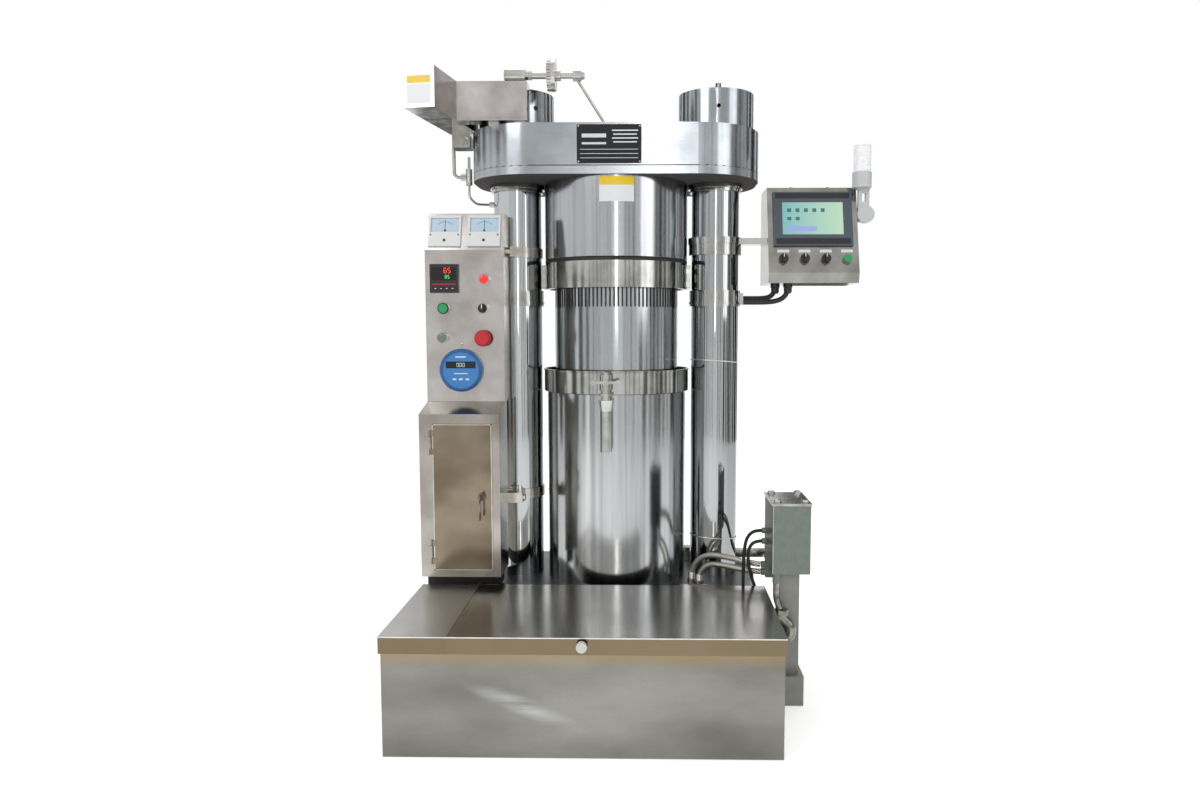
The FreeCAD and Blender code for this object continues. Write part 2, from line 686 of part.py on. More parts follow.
def tank():
    """The welded oil tank, open at the top, with its hinge knuckles and a pump unit inside."""
    inner_x = "tank_left + tank_wall"
    inner_y = "tank_front + tank_wall"
    inner_long = "tank_long - 2 * tank_wall"
    inner_deep = "tank_deep - 2 * tank_wall"
    floor = "skid_high + tank_wall"
    high = "tank_high - seat_gap"
    shell = block("tank_left", "tank_front", 0, "tank_long", "tank_deep", high)
    hollow = block(inner_x, inner_y, floor, inner_long, inner_deep, high)
    recess = block(inner_x, inner_y, 0, inner_long, "tank_deep", "skid_high")
    pieces = [cut(shell, hollow, recess)]
    back = "tank_front + tank_deep"
    for side in (-0.3, 0.3):
        x = f"tank_left + tank_long / 2 + {side} * tank_long"
        pieces.append(middle(x, f"({back} + hinge_y) / 2", "tank_high - 30", 30, f"hinge_y - ({back})", 24))
        pieces.append(rod(f"{x} - 15", "hinge_y", "tank_high - 2", "hinge_r_out", 30, "x"))
        pieces.append(middle(x, "hinge_y + hinge_r_out / 2 - 1.5", "tank_high - 30", 30, 3, 26))
    box_top = "tank_high - 52"
    side = "tank_left + tank_long"
    pieces.append(block(f"{side} - 64", back, f"{box_top} - 50", 70, 32, 50))
    for x in ("gland_in", "gland_in - gland_step"):
        pieces.append(rod(f"{side} - ({x})", "lead_y", box_top, 7, 12))
    pin_bore = []
    for side in (-0.3, 0.3):
        x = f"tank_left + tank_long / 2 + {side} * tank_long"
        pin_bore.append(rod(f"{x} - 16", "hinge_y", "tank_high - 2", "hinge_r_out - 2.5", 32, "x"))
    node("tank_box", cut(join(*pieces), *pin_bore))
    pump_x = "tank_left + tank_long * 0.62"
    pump_y = "tank_front + tank_deep / 2"
    motor = rod(pump_x, pump_y, f"{floor} + 30", "motor_r_out", "motor_high")
    foot = middle(pump_x, pump_y, floor, "2.2 * motor_r_out", "2.2 * motor_r_out", 30)
    pump = block(f"{pump_x} - 3.2 * motor_r_out", f"{pump_y} - 35", floor, "2.4 * motor_r_out", 70, 90)
    node("pump_motor", join(motor, foot, pump))


def tank_lid():
    """The folded lid with its hinge leaves, pins and a knob on the front lip."""
    left = "tank_left - lid_over"
    long = "tank_long + 2 * lid_over"
    front = "tank_front - lid_over"
    deep = "tank_deep + lid_over"
    shell = block(left, front, "tank_high + lid_sheet - lid_lip", long, deep, "lid_lip")
    hollow = block(f"{left} + lid_sheet", f"{front} + lid_sheet", "tank_high + lid_sheet - lid_lip",
                   f"{long} - 2 * lid_sheet", deep, "lid_lip - lid_sheet")
    pieces = [cut(shell, hollow)]
    back = "tank_front + tank_deep"
    for side in (-0.3, 0.3):
        x = f"tank_left + tank_long / 2 + {side} * tank_long"
        for end in (f"{x} - 36", f"{x} + 16"):
            pieces.append(rod(end, "hinge_y", "tank_high - 2", "hinge_r_out", 20, "x"))
            pieces.append(block(end, f"{back} - 2", "tank_high", 20, f"hinge_y - ({back}) + 2", "lid_sheet"))
        pieces.append(rod(f"{x} - 36", "hinge_y", "tank_high - 2", "hinge_r_out - 2.8", 72, "x"))
    knob_x = f"{left} + ({long}) / 2"
    knob_z = "tank_high + lid_sheet - lid_lip * 0.42"
    pieces.append(rod(knob_x, front, knob_z, 5, 8, "-y"))
    pieces.append(rod(knob_x, f"{front} - 7", knob_z, "knob_r_out", 9, "-y"))
    node("tank_lid", join(*pieces))


def shell_body(outer, inner, left, wide, wall):
    """A sheet housing from an outer and an inner (y, z) outline."""
    body = side_profile(outer, left, wide)
    sketch = outline(body, "YZ_Plane", inner, f"{left} + {wall}")
    pocket(body, sketch, f"{wide} - 2 * {wall}", True)
    return body


def lower_cabinet():
    """The folded lower cabinet with a sloping top, open behind its door."""
    wall = "cabinet_wall"
    outer = [
        ("cabinet_front", "cabinet_bottom"), ("cabinet_back", "cabinet_bottom"),
        ("cabinet_back", "ledge_z - seat_gap"), ("panel_front", "ledge_z - seat_gap"),
        ("cabinet_front", "cabinet_top"),
    ]
    inner = [
        (f"cabinet_front + {wall}", f"cabinet_bottom + {wall}"),
        (f"cabinet_back - {wall}", f"cabinet_bottom + {wall}"),
        (f"cabinet_back - {wall}", f"ledge_z - 2 * {wall}"), (f"panel_front + {wall}", f"ledge_z - 2 * {wall}"),
        (f"cabinet_front + {wall}", f"cabinet_top - {wall}"),
    ]
    shell = shell_body(outer, inner, "cabinet_left", "cabinet_wide", wall)
    opening = block("door_x + door_lap", f"cabinet_front - {wall}", "door_z + door_lap",
                    "door_wide - 2 * door_lap", f"3 * {wall}", "door_high - 2 * door_lap")
    seats = []
    for z in ("door_z + 30", "door_z + door_high - 60"):
        seats.append(rod("door_x - 3", "cabinet_front - 3", z, 2.6, 30))
        seats.append(block("door_x - 13", "cabinet_front - 2", z, 10, 2, 30))
    bores = [rod("door_x - 3", "cabinet_front - 3", f"{z} - 1", 1.4, 32)
             for z in ("door_z + 30", "door_z + door_high - 60")]
    node("lower_cabinet", cut(join(cut(shell, opening), *seats), *bores))


def cabinet_door():
    """The door leaf, its hinge leaves and pins, and the lock barrel with the key that hangs in it."""
    back = "cabinet_front - seat_gap"
    leaf = block("door_x + 2", f"{back} - door_thick", "door_z", "door_wide - 2", "door_thick", "door_high")
    pieces = [leaf]
    for z in ("door_z + 30", "door_z + door_high - 60"):
        for end in (f"{z} - 14.3", f"{z} + 30.3"):
            pieces.append(rod("door_x - 3", "cabinet_front - 3", end, 2.6, 14))
            pieces.append(block("door_x - 3", f"{back} - door_thick - 1.5", end, 12, 1.8, 14))
        pieces.append(rod("door_x - 3", "cabinet_front - 3", f"{z} - 14", 1.1, 58))
    node("cabinet_door", cut(join(*pieces), rod("lock_x", f"{back} + 2", "lock_z", 7.3, 8, "-y")))
    face = f"{back} - door_thick - seat_gap"
    barrel = rod("lock_x", f"{back} - 0.5", "lock_z", 7, 5, "-y")
    rosette = rod("lock_x", face, "lock_z", 10, 3, "-y")
    blade = middle("lock_x", f"{face} - 10", "lock_z - 4", 2.4, 18, 8)
    bow = rod("lock_x - 1.2", f"{face} - 24", "lock_z", 10, 2.4, "x")
    spare = rod("lock_x - 1.2", f"{face} - 26", "lock_z - 42", 10, 2.4, "x")
    spare_blade = middle("lock_x", f"{face} - 26", "lock_z - 34", 2.4, 7, 27)
    node("door_lock", join(barrel, rosette, blade, bow, spare_blade, spare))


def control_housing():
    """The upper housing: an upright control panel under a face that leans back for the meters."""
    wall = "cabinet_wall"
    outer = [
        ("panel_front", "ledge_z"), ("housing_back", "ledge_z"), ("housing_back", "housing_top"),
        ("panel_front + meter_lean", "housing_top"), ("panel_front", "panel_top"),
    ]
    inner = [
        (f"panel_front + {wall}", f"ledge_z + {wall}"), (f"housing_back - {wall}", f"ledge_z + {wall}"),
        (f"housing_back - {wall}", f"housing_top - {wall}"),
        (f"panel_front + meter_lean + {wall}", f"housing_top - {wall}"), (f"panel_front + {wall}", "panel_top"),
    ]
    node("control_housing", shell_body(outer, inner, "cabinet_left", "cabinet_wide", wall))


LEAN = "atan(meter_lean / (housing_top - panel_top))"


def on_meter_face(thing, x):
    """Moves a piece drawn on the plane y = 0 to the leaning meter face."""
    return place(thing, x, "panel_front", "panel_top", f"-{LEAN}", (1, 0, 0))


def meters():
    """Two square panel meters with an open dial well, and their needles."""
    cases = []
    for number, x in enumerate(("cabinet_left + 48", "cabinet_left + 145")):
        side = "meter_side"
        case = block(f"-{side} / 2", -6, 8, side, 6, side)
        well = block(f"-{side} / 2 + 5", -7, "8 + meter_side * 0.46", f"{side} - 10", 5, f"{side} * 0.46")
        cases.append(on_meter_face(cut(case, well), x))
        hub = rod(0, -2.3, "8 + meter_side * 0.52", 2.5, 1.2, "-y")
        needle = block(-0.5, -3, "8 + meter_side * 0.52", 1, 0.6, "meter_side * 0.34")
        label = ("voltmeter_needle", "ammeter_needle")[number]
        node(label, on_meter_face(join(hub, needle), x))
    node("panel_meters", group(*cases))


PANEL = {
    "lamp": ("cabinet_left + 146", "panel_top - 72"),
    "start": ("cabinet_left + 45", "panel_top - 143"),
    "selector": ("cabinet_left + 142", "panel_top - 143"),
    "ready": ("cabinet_left + 41", "panel_top - 215"),
    "stop": ("cabinet_left + 143", "panel_top - 216"),
    "gauge": ("cabinet_left + 87", "panel_top - 295"),
    "controller": ("cabinet_left + 48", "panel_top - 70"),
}


def panel_items():
    """Bezels, lamps, buttons, the controller and the round display on the control panel."""
    bezels = []
    for name in ("lamp", "start", "selector", "ready", "stop"):
        x, z = PANEL[name]
        bezels.append(tube(x, "panel_front", z, "bezel_r_out", "bezel_bore", "bezel_high", "-y"))
    node("button_bezels", group(*bezels))
    caps = []
    for name in ("lamp", "ready"):
        x, z = PANEL[name]
        radius = "bezel_bore - seat_gap"
        caps.append(join(rod(x, "panel_front", z, radius, "bezel_high", "-y"),
                         taper(x, "panel_front - bezel_high", z, radius, "bezel_bore - 3.5", 3, "-y")))
    node("indicator_lamps", group(*caps))
    x, z = PANEL["start"]
    node("start_button", rod(x, "panel_front - bezel_high + 5", z, "bezel_bore - run_gap", 7.5, "-y"))
    x, z = PANEL["selector"]
    base = rod(x, "panel_front - 1", z, "bezel_bore - run_gap", "bezel_high + 1", "-y")
    grip = middle(x, "panel_front - bezel_high - 5", f"{z} - 10.5", 6.5, 12, 21)
    node("selector_knob", join(base, grip))
    x, z = PANEL["stop"]
    stem = rod(x, "panel_front - 5", z, "bezel_bore - run_gap", "bezel_high + 1", "-y")
    head = rod(x, "panel_front - bezel_high - 5", z, "stop_r_out", 6, "-y")
    crown = taper(x, "panel_front - bezel_high - 11", z, "stop_r_out", "stop_r_out - 4", 5, "-y")
    node("emergency_stop", join(stem, head, crown))
    x, z = PANEL["controller"]
    case = middle(x, "panel_front - 4", f"{z} - controller_side / 2", "controller_side", 8, "controller_side")
    well = middle(x, "panel_front - 7.5", f"{z} - 4", "controller_side - 10", 2, "controller_side / 2 - 4")
    keys = [middle(f"{x} - 21 + {14 * i}", "panel_front - 8.5", f"{z} - 27", 9, 1.6, 5) for i in range(4)]
    node("temperature_controller", join(cut(case, well), *keys))
    x, z = PANEL["gauge"]
    dish = rod(x, "panel_front", z, "gauge_r_out", 10, "-y")
    bevel = taper(x, "panel_front - 10", z, "gauge_r_out", "gauge_r_out - 5", 4, "-y")
    well = rod(x, "panel_front - 12.5", z, "gauge_r_out - 8", 3, "-y")
    window = middle(x, "panel_front - 12", f"{z} + 5", 74, 2.4, 17)
    node("pressure_display", join(cut(join(dish, bevel), well), window))


def cabinet_clamps():
    """Two bands round the left column, each with a jaw and a bolt to the cabinet."""
    inner = "column_r_out + seat_gap"
    outer = "column_r_out + seat_gap + band_thick"
    right = "cabinet_left + cabinet_wide"
    clamps = []
    for z in ("band_upper_z", "band_lower_z"):
        band = tube("-column_x", 0, z, outer, inner, "band_high")
        jaw = cut(block("-column_x - 8", "-column_r_out - 24", z, 30, 26, "band_high"),
                  rod("-column_x", 0, z, inner, "band_high"))
        half = f"{z} + band_high / 2"
        if z == "band_upper_z":
            reach = f"-column_x - ({right}) - seat_gap"
            bolt = rod(f"{right} + seat_gap", "-column_r_out - 16", half, 5, reach, "x")
            head = hexagon(f"{right} + seat_gap", "-column_r_out - 16", half, 8.5, 6, "x")
            clamps.append(join(band, jaw, bolt, head))
        else:
            arm = block(f"{right} - 30", "cabinet_back + seat_gap", z, f"-column_x - ({right}) + 52",
                        "-column_r_out - 20 - cabinet_back - seat_gap", "band_high")
            nut = hexagon("-column_x + 16", "-column_r_out - 45", half, 9, 12, "x")
            clamps.append(join(band, jaw, arm, nut))
    node("cabinet_clamps", group(*clamps))


def drive_housing():
    """The L-shaped drive box on the left of the beam, on two feet."""
    long_box = place(block(0, 0, 0, "drive_wide", "drive_long", "drive_high"),
                     "cabinet_left - 11", "cross_front - 124", "drive_z", "-drive_turn")
    cross = block("cross_x", "cross_front", "drive_z", "cross_long", "cross_deep", "drive_high")
    feet = []
    for x in ("cross_x + 85", "cross_x + cross_long - 30"):
        feet.append(block(x, "cross_front + 8", BEAM_TOP, 24, "cross_deep - 16", f"drive_z - ({BEAM_TOP})"))
    hatch = block("cross_x + 20", "cross_front - 1.5", "drive_z + 6", "cross_long - 26", 1.5, "drive_high - 24")
    node("drive_housing", join(long_box, cross, hatch, *feet))


def drive_valve():
    """The solenoid valve under the long box, with a round coil."""
    x = "-beam_long / 2 - 26"
    body = middle(x, -45, "drive_z - 48", 44, 50, 48)
    coil = rod(x, -70, "drive_z - 26", 15, 18, "-y")
    node("drive_valve", join(body, coil))


def spindle():
    """The hub and the rod-end stand that carry the hand spindle, and the spindle with its wheel."""
    y = "spindle_y"
    z = "drive_z + drive_high + hub_r_out"
    bore = "spindle_r_out + run_gap"
    hub = tube("-266", y, z, "hub_r_out", bore, 50, "x")
    eye = tube("-100", y, z, "hub_r_out - 4", bore, 20, "x")
    foot_z = BEAM_TOP
    rise = size("drive_z") + size("drive_high") + size("hub_r_out") - 12
    rise -= size("beam_bottom") + size("flange_high") + size("seam") + size("clad_high")
    run = 72
    slope = math.degrees(math.atan2(run, rise))
    brace = bind(add("Part::Cylinder", "Brace"), Radius=3.2)
    brace.Height = math.hypot(rise, run) - 2
    place(brace, -18, y, f"{foot_z} + 2", -slope, (0, 1, 0))
    plate = middle(-18, y, foot_z, 34, 24, 5)
    node("spindle_supports", group(hub, join(eye, brace, plate)))
    shaft = rod(-268, y, z, "spindle_r_out", 196, "x")
    nut = hexagon(-215.7, y, z, 11, 16, "x")
    wheel = rod(-162, y, z, "wheel_r_out", "wheel_wide", "x")
    notches = []
    count = int(size("wheel_notches"))
    for i in range(count):
        turn = 360 * i / count
        notches.append(rod(-163, f"{y} + wheel_r_out * cos({turn})", f"{z} + wheel_r_out * sin({turn})",
                           "wheel_r_out * 0.11", "wheel_wide * 0.6", "x"))
    boss = rod(-144, y, z, 13, 14, "x")
    collar = rod(-79.7, y, z, 10, 6, "x")
    node("hand_spindle", join(shaft, nut, cut(wheel, *notches), boss, collar))


def route(points, radius, share=0.45):
    """A round tube along straight runs joined by tangent arcs, and its smallest arc radius."""
    spots = [Vector(*p) for p in points]
    edges = []
    start = spots[0]
    length = 0.0
    tightest = None
    for before, corner, after in zip(spots, spots[1:], spots[2:]):
        toward = (corner - before).normalize()
        onward = (after - corner).normalize()
        turn = toward.getAngle(onward)
        shorter = min(before.distanceToPoint(corner), corner.distanceToPoint(after))
        setback = share * shorter
        bend = setback / math.tan(turn / 2)
        tightest = bend if tightest is None else min(tightest, bend)
        first = corner - toward * setback
        last = corner + onward * setback
        inward = (onward - toward).normalize()
        centre = corner + inward * (bend / math.cos(turn / 2))
        half_way = centre - inward * bend
        edges.append(Part.LineSegment(start, first).toShape())
        edges.append(Part.Arc(first, half_way, last).toShape())
        length += start.distanceToPoint(first) + bend * turn
        start = last
    edges.append(Part.LineSegment(start, spots[-1]).toShape())
    length += start.distanceToPoint(spots[-1])
    path = Part.Wire(edges)
    section = Part.Wire(Part.Circle(spots[0], spots[1] - spots[0], radius).toShape())
    shape = path.makePipeShell([section], True, True)
    expected = math.pi * radius * radius * length
    if shape.Volume < 0:
        shape.reverse()
    if abs(shape.Volume / expected - 1) > 0.01:
        raise RuntimeError(f"a tube has volume {shape.Volume} and should have {expected}")
    return shape, tightest, length


def cord(label, points, radius_name):
    """A flexible line as a plain tube of its own."""
    shape, tightest, length = route(points, size(radius_name))
    print(f"{label}: {length:.0f} mm long, tightest bend radius {tightest:.0f} mm")
    node(label, solid(label, shape))


def oil_line():
    """The bent steel line from the drive housing down to the left column, with its tee."""
    left = -size("beam_long") / 2 - 53
    low = size("beam_bottom") + 18
    drop = size("drive_z") - size("seat_gap")
    column = -size("column_x") - size("column_r_out") - size("seat_gap")
    tee_x = left + 38
    upper = [(left, -30, drop), (left, -30, low), (tee_x - 4, -30, low)]
    lower = [(tee_x, -30, low - 10), (tee_x, -30, low - 50), (tee_x + 14, -14, low - 66),
             (column - 6, 0, low - 66)]
    radius = size("line_r_out")
    main = solid("main_line", route(upper, radius, 0.4)[0])
    thin = solid("thin_line", route(lower, radius * 0.7, 0.4)[0])
    tee = rod(tee_x, -30, low - 20, 8.5, 40)
    nut = hexagon(tee_x - 20, -30, low, 9, 14, "x")
    lug = middle(tee_x, -27, low + 14, 7, 4, 38)
    end = hexagon(column - 12, 0, low - 66, 7, 12, "x")
    node("oil_line", join(main, thin, tee, nut, lug, end))


def swing_arm():
    """The arm that turns on the right column, with the collar that holds the console cables."""
    bore = "column_r_out + run_gap"
    hub = rod("column_x", 0, "arm_z", "arm_r_out", "arm_high")
    bar = block("column_x", "-arm_wide / 2", "arm_z", "console_x - column_x - seat_gap", "arm_wide", "arm_high")
    plate = cut(join(hub, bar), rod("column_x", 0, "arm_z", bore, "arm_high"))
    ring = tube("column_x", 0, "collar_z", "collar_r_out", bore, "collar_high")
    rib = tube("column_x", 0, "collar_z + 5", "collar_r_out + 1.5", bore, 6)
    gland = cut(block("column_x", "-18", "collar_z + 4", "collar_r_out + 7", 36, 30),
                rod("column_x", 0, "collar_z", bore, "collar_high"))
    node("swing_arm", group(plate, join(ring, rib, gland)))


def on_console(thing):
    """Moves a piece drawn on the plane y = 0 to the leaning face of the console."""
    return place(thing, "console_x", "console_front", "console_bottom + console_bend",
                 "-console_lean", (1, 0, 0))


def console():
    """The folded console with its leaning face, touch panel, knob bezels and lamp bracket."""
    wall = "console_wall"
    bend = "console_bottom + console_bend"
    top = f"{bend} + console_face * cos(console_lean)"
    back = "console_front + console_face * sin(console_lean)"
    outer = [
        ("console_front + 6", "console_bottom"), ("console_back", "console_bottom"), ("console_back", top),
        (back, top), ("console_front", bend),
    ]
    inner = [
        (f"console_front + 6 + {wall}", f"console_bottom + {wall}"),
        (f"console_back - {wall}", f"console_bottom + {wall}"), (f"console_back - {wall}", f"{top} - {wall}"),
        (f"{back} + {wall}", f"{top} - {wall}"), (f"console_front + {wall}", f"{bend} + 0.5"),
    ]
    shell = shell_body(outer, inner, "console_x", "console_wide", wall)
    bezels = []
    for i in range(4):
        x = f"knob_first + {i} * knob_step"
        bezels.append(on_console(tube(x, 0, "knob_up", "bezel_r_out - 1", "dial_r_out - 1", 5, "-y")))
    right = "console_x + console_wide"
    cheek = join(block(right, -4, "pivot_z - 18", "pivot_x - (console_x + console_wide)", 12, 36),
                 rod("pivot_x", 8, "pivot_z", 18, 12, "-y"))
    cheek = cut(cheek, rod("pivot_x", 9, "pivot_z", 5.3, 14, "-y"))
    lip_screws = [rod(f"console_x + {x}", f"{back} + 9", top, 4.5, 2) for x in (64, 158)]
    node("console_box", join(shell, cheek, *bezels, *lip_screws))
    left = "(console_wide - screen_wide) / 2"
    frame = block(left, -7, "screen_up", "screen_wide", 7, "screen_high")
    well = block(f"{left} + 23", -8, "screen_up + 30", "screen_wide - 46", 2.5, "screen_high - 58")
    node("touch_panel", on_console(cut(frame, well)))
    for i, label in enumerate(("console_knob_left", "console_knob_middle", "console_knob_right")):
        x = f"knob_first + {i} * knob_step"
        base = rod(x, -0.4, "knob_up", "dial_r_out - 1 - run_gap", 6, "-y")
        skirt = rod(x, -5.4, "knob_up", "dial_r_out", 3, "-y")
        grip = middle(x, -12, "knob_up - dial_r_out + 1", 6, 10, "2 * dial_r_out - 2")
        node(label, on_console(join(base, skirt, grip)))
    x = "knob_first + 3 * knob_step"
    face = "dial_r_out - 1 - run_gap"
    cap = join(rod(x, -3.5, "knob_up", face, 6, "-y"),
               taper(x, -9.5, "knob_up", face, f"{face} - 1.5", 1.5, "-y"))
    node("console_button", on_console(cap))


def signal_lamp():
    """The folding signal lamp: pivot disc, slotted neck, base ring and white lens."""
    y = -24
    disc = rod("pivot_x", "-4 - seat_gap", "pivot_z", "pivot_r_out", 18, "-y")
    pin = rod("pivot_x", 8, "pivot_z", 5, 14, "-y")
    neck = middle("pivot_x - 6", -14, "pivot_z + 10", 28, 14, 60)
    window = middle("pivot_x - 6", -14, "pivot_z + 32", 10, 30, 22)
    ring_z = "pivot_z + 66"
    lamp_x = "pivot_x - 13"
    ring = rod(lamp_x, y, ring_z, "lens_r_out + 3", 38)
    lens = rod(lamp_x, y, f"{ring_z} + 38", "lens_r_out", 66)
    dome = taper(lamp_x, y, f"{ring_z} + 104", "lens_r_out", "lens_r_out - 5", 5)
    shelf = middle("pivot_x - 8", -16, f"{ring_z} - 4", 34, 18, 6)
    node("signal_lamp", join(cut(neck, window), disc, pin, shelf, ring, lens, dome))


def valve_box():
    """The closed valve box on its post, with a bolted top plate and its cable and hose fittings."""
    shell = block("valve_x", "valve_front", "valve_z", "valve_wide", "valve_deep", "valve_high - 6")
    hollow = block("valve_x + valve_wall", "valve_front + valve_wall", "valve_z + valve_wall",
                   "valve_wide - 2 * valve_wall", "valve_deep - 2 * valve_wall", "valve_high - 6")
    lid_z = "valve_z + valve_high - 6"
    lid = block("valve_x - 2", "valve_front - 2", lid_z, "valve_wide + 4", "valve_deep + 4", 6)
    bolts = []
    for i in ("0.14", "0.86"):
        for j in ("0.12", "0.88"):
            x = f"valve_x + valve_wide * {i}"
            y = f"valve_front + valve_deep * {j}"
            bolts.append(hexagon(x, y, "valve_z + valve_high", 7, 5))
    fittings = [
        rod("valve_x + 11", "valve_front + 10", "valve_z - 22", 9, 22),
        block("valve_x + 1", "port_y - 10", "valve_z - 42", 24, 20, 42),
        rod("valve_x - 9", "port_y", "valve_z - 12", 8.5, 10, "x"),
        rod("valve_x - 9", "port_y", "valve_z - 30", 8.5, 10, "x"),
        rod("valve_x - 10", "lead_y", "valve_z + 76", 7, 10, "x"),
        rod("valve_x - 10", "lead_y", "valve_z + 50", 7, 10, "x"),
    ]
    node("valve_box", join(cut(shell, hollow), lid, *bolts, *fittings))


def oil_pipes():
    """The return pipe from the valve box into the tank, and the pressure pipe from the bed."""
    x = size("valve_x") + 11
    y = size("valve_front") + 10
    top = size("valve_z") - 22 - size("seat_gap")
    side = size("tank_left") + size("tank_long") + size("seat_gap")
    entry = size("tank_high") - 86
    radius = size("pipe_r_out")
    hose = route([(x, y, top), (x, y, top - 36), (x + 8, y - 12, top - 60)], radius * 0.55, 0.4)[0]
    union = hexagon(x + 10, y - 14, top - 78, 17, 20)
    front = y - 20
    bend = [(x + 10, front + 4, top - 76), (x + 32, front, top - 98), (x + 28, front, entry),
            (side, front, entry)]
    elbow = route(bend, radius * 0.93, 0.4)[0]
    flange = rod(side, front, entry, radius + 6, 5, "x")
    bed = size("frame_high") + size("bed_high") + size("seat_gap")
    port_x = 205
    port = block(port_x - 20, 84, bed, 34, 32, 38)
    across = bed + 20
    end_x = size("valve_x") + 45
    back = size("valve_front") + size("valve_deep") + size("seat_gap")
    reach = [(port_x + 13, 100, across), (end_x, 100, across), (end_x, 0, across + 30),
             (end_x, -90, across + 96), (end_x, back, across + 100)]
    pressure = route(reach, radius * 0.9, 0.4)[0]
    node("oil_pipes", group(join(solid("hose", hose), union, solid("elbow", elbow), flange),
                            join(solid("pressure", pressure), port)))


def cords():
    """Braided hoses, black leads and console cables, each along its own hand-set route."""
    bed = size("frame_high") + size("bed_high") + size("seat_gap")
    port = size("valve_x") - 9 - size("seat_gap")
    port_y = size("port_y")
    upper = size("valve_z") - 12
    lower = size("valve_z") - 30
    cord("braided_hose_front", [(214, -124, bed), (214, -124, 248.3), (220.1, -128.5, 265.5),
                                (231.3, -137, 278.5), (246, -148, 286), (268, -163, 287.5), (298, -181, 286.5),
                                (330, -197, 283.5), (port - 0.8, port_y, lower)], "hose_r_out")
    cord("braided_hose_rear", [(196, -104, bed), (196, -104, 255), (204.3, -109.8, 278.1),
                               (219.6, -120, 295.8), (239.6, -133, 305.4), (264, -150, 307.5), (294, -172, 307),
                               (327, -195, 303.5), (port - 1.3, port_y, upper)], "hose_r_out")
    left = size("valve_x") - 10 - size("seat_gap")
    lead_y = size("lead_y")
    box = size("valve_z")
    gland_top = size("tank_high") - 40 + size("seat_gap")
    drop = size("tank_left") + size("tank_long") - size("gland_in")
    cord("power_lead", [(left, lead_y, box + 76), (drop + 28, lead_y, box + 75.4),
                        (drop + 15, lead_y, box + 67.5), (drop + 6.5, lead_y, box + 54),
                        (drop + 2.5, lead_y + 1, box + 33), (drop + 0.5, lead_y + 1, box + 3),
                        (drop, lead_y + 1.5, box - 37), (drop, lead_y + 0.7, gland_top + 27.7),
                        (drop, lead_y, gland_top)], "lead_r_out")
    drop += size("gland_step")
    cord("signal_lead", [(left, lead_y, box + 50), (drop - 5, lead_y, box + 49), (drop - 17, lead_y, box + 40),
                         (drop - 23, lead_y, box + 22), (drop - 22, lead_y + 1, box - 7),
                         (drop - 14, lead_y + 1, box - 40), (drop - 4, lead_y, box - 67),
                         (drop, lead_y, box - 84), (drop, lead_y, gland_top)], "lead_r_out")
    x = size("console_x")
    under = size("console_bottom") - size("seat_gap")
    gland = size("column_x") + size("collar_r_out") + 7 + size("seat_gap")
    low = size("collar_z")
    cord("console_cable_front", [(x + 56, -12, under), (x + 56, -12, under - 18.7),
                                 (x + 46, -12, under - 35.7), (x + 26, -11, under - 44.7), (x - 6, -9, low + 10),
                                 (gland, -9, low + 10.5)], "cable_r_out")
    cord("console_cable_rear", [(x + 26, 10, under), (x + 26, 10, under - 15.2), (x + 18.4, 10, under - 28.4),
                                (x + 5.2, 9.5, under - 36), (gland + 32.2, 9, low + 20.4),
                                (gland, 9, low + 21)], "cable_r_out")


for build in (base_frame, machine_bed, columns, column_collars, top_beam, nut_covers, press_barrel,
              clamp_ring, ram, main_cylinder, outlet, tank, tank_lid, lower_cabinet, cabinet_door,
              control_housing, meters, panel_items, cabinet_clamps, drive_housing, drive_valve, spindle,
              oil_line, swing_arm, console, signal_lamp, valve_box, oil_pipes, cords):
    build()

doc.recompute()
for thing in doc.Objects:
    if "Invalid" in thing.State or "Error" in thing.State:
        raise RuntimeError(f"{thing.Name} ({thing.Label}) is {thing.State}")
for thing in NODES:
    if thing.Shape.isNull() or not thing.Shape.isValid():
        raise RuntimeError(f"{thing.Label} has no valid shape")

os.makedirs("parts", exist_ok=True)
for thing in NODES:
    thing.Shape.exportStep(f"parts/{thing.Label}.step")
print(len(NODES), "sub-parts")
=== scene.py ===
import math
import bmesh
import bpy
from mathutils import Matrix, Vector


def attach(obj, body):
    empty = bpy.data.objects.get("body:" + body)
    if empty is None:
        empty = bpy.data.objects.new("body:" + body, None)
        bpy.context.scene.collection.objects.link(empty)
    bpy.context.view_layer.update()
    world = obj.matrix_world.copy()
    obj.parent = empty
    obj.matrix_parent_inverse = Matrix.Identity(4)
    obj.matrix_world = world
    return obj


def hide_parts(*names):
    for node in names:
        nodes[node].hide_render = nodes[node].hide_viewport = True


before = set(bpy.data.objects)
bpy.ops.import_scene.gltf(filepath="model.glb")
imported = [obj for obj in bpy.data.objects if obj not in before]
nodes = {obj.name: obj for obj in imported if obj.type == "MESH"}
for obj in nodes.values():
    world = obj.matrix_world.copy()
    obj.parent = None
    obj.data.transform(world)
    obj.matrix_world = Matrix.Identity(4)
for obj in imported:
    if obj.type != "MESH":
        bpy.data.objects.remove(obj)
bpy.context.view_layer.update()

# The camera stands a little left of the press axis at shoulder height, 2.3 m in front of it, and looks
# slightly down. The sensor shift puts the press where the picture frame has it.
lens = bpy.data.cameras.new("camera")
lens.lens = 26.4
lens.sensor_width = 36
lens.shift_x = -0.0275
camera = bpy.data.objects.new("camera", lens)
camera.location = (0.084, -2.321, 0.884)
camera.rotation_euler = (math.radians(85.3), 0, math.radians(1))
bpy.context.collection.objects.link(camera)
bpy.context.scene.camera = camera
bpy.context.scene.view_settings.view_transform = "Standard"


def linear(code):
    """The linear colour of an sRGB hex code such as #8c9aa0."""
    parts = [int(code[i:i + 2], 16) / 255 for i in (1, 3, 5)]
    return tuple(c / 12.92 if c <= 0.04045 else ((c + 0.055) / 1.055) ** 2.4 for c in parts) + (1.0,)


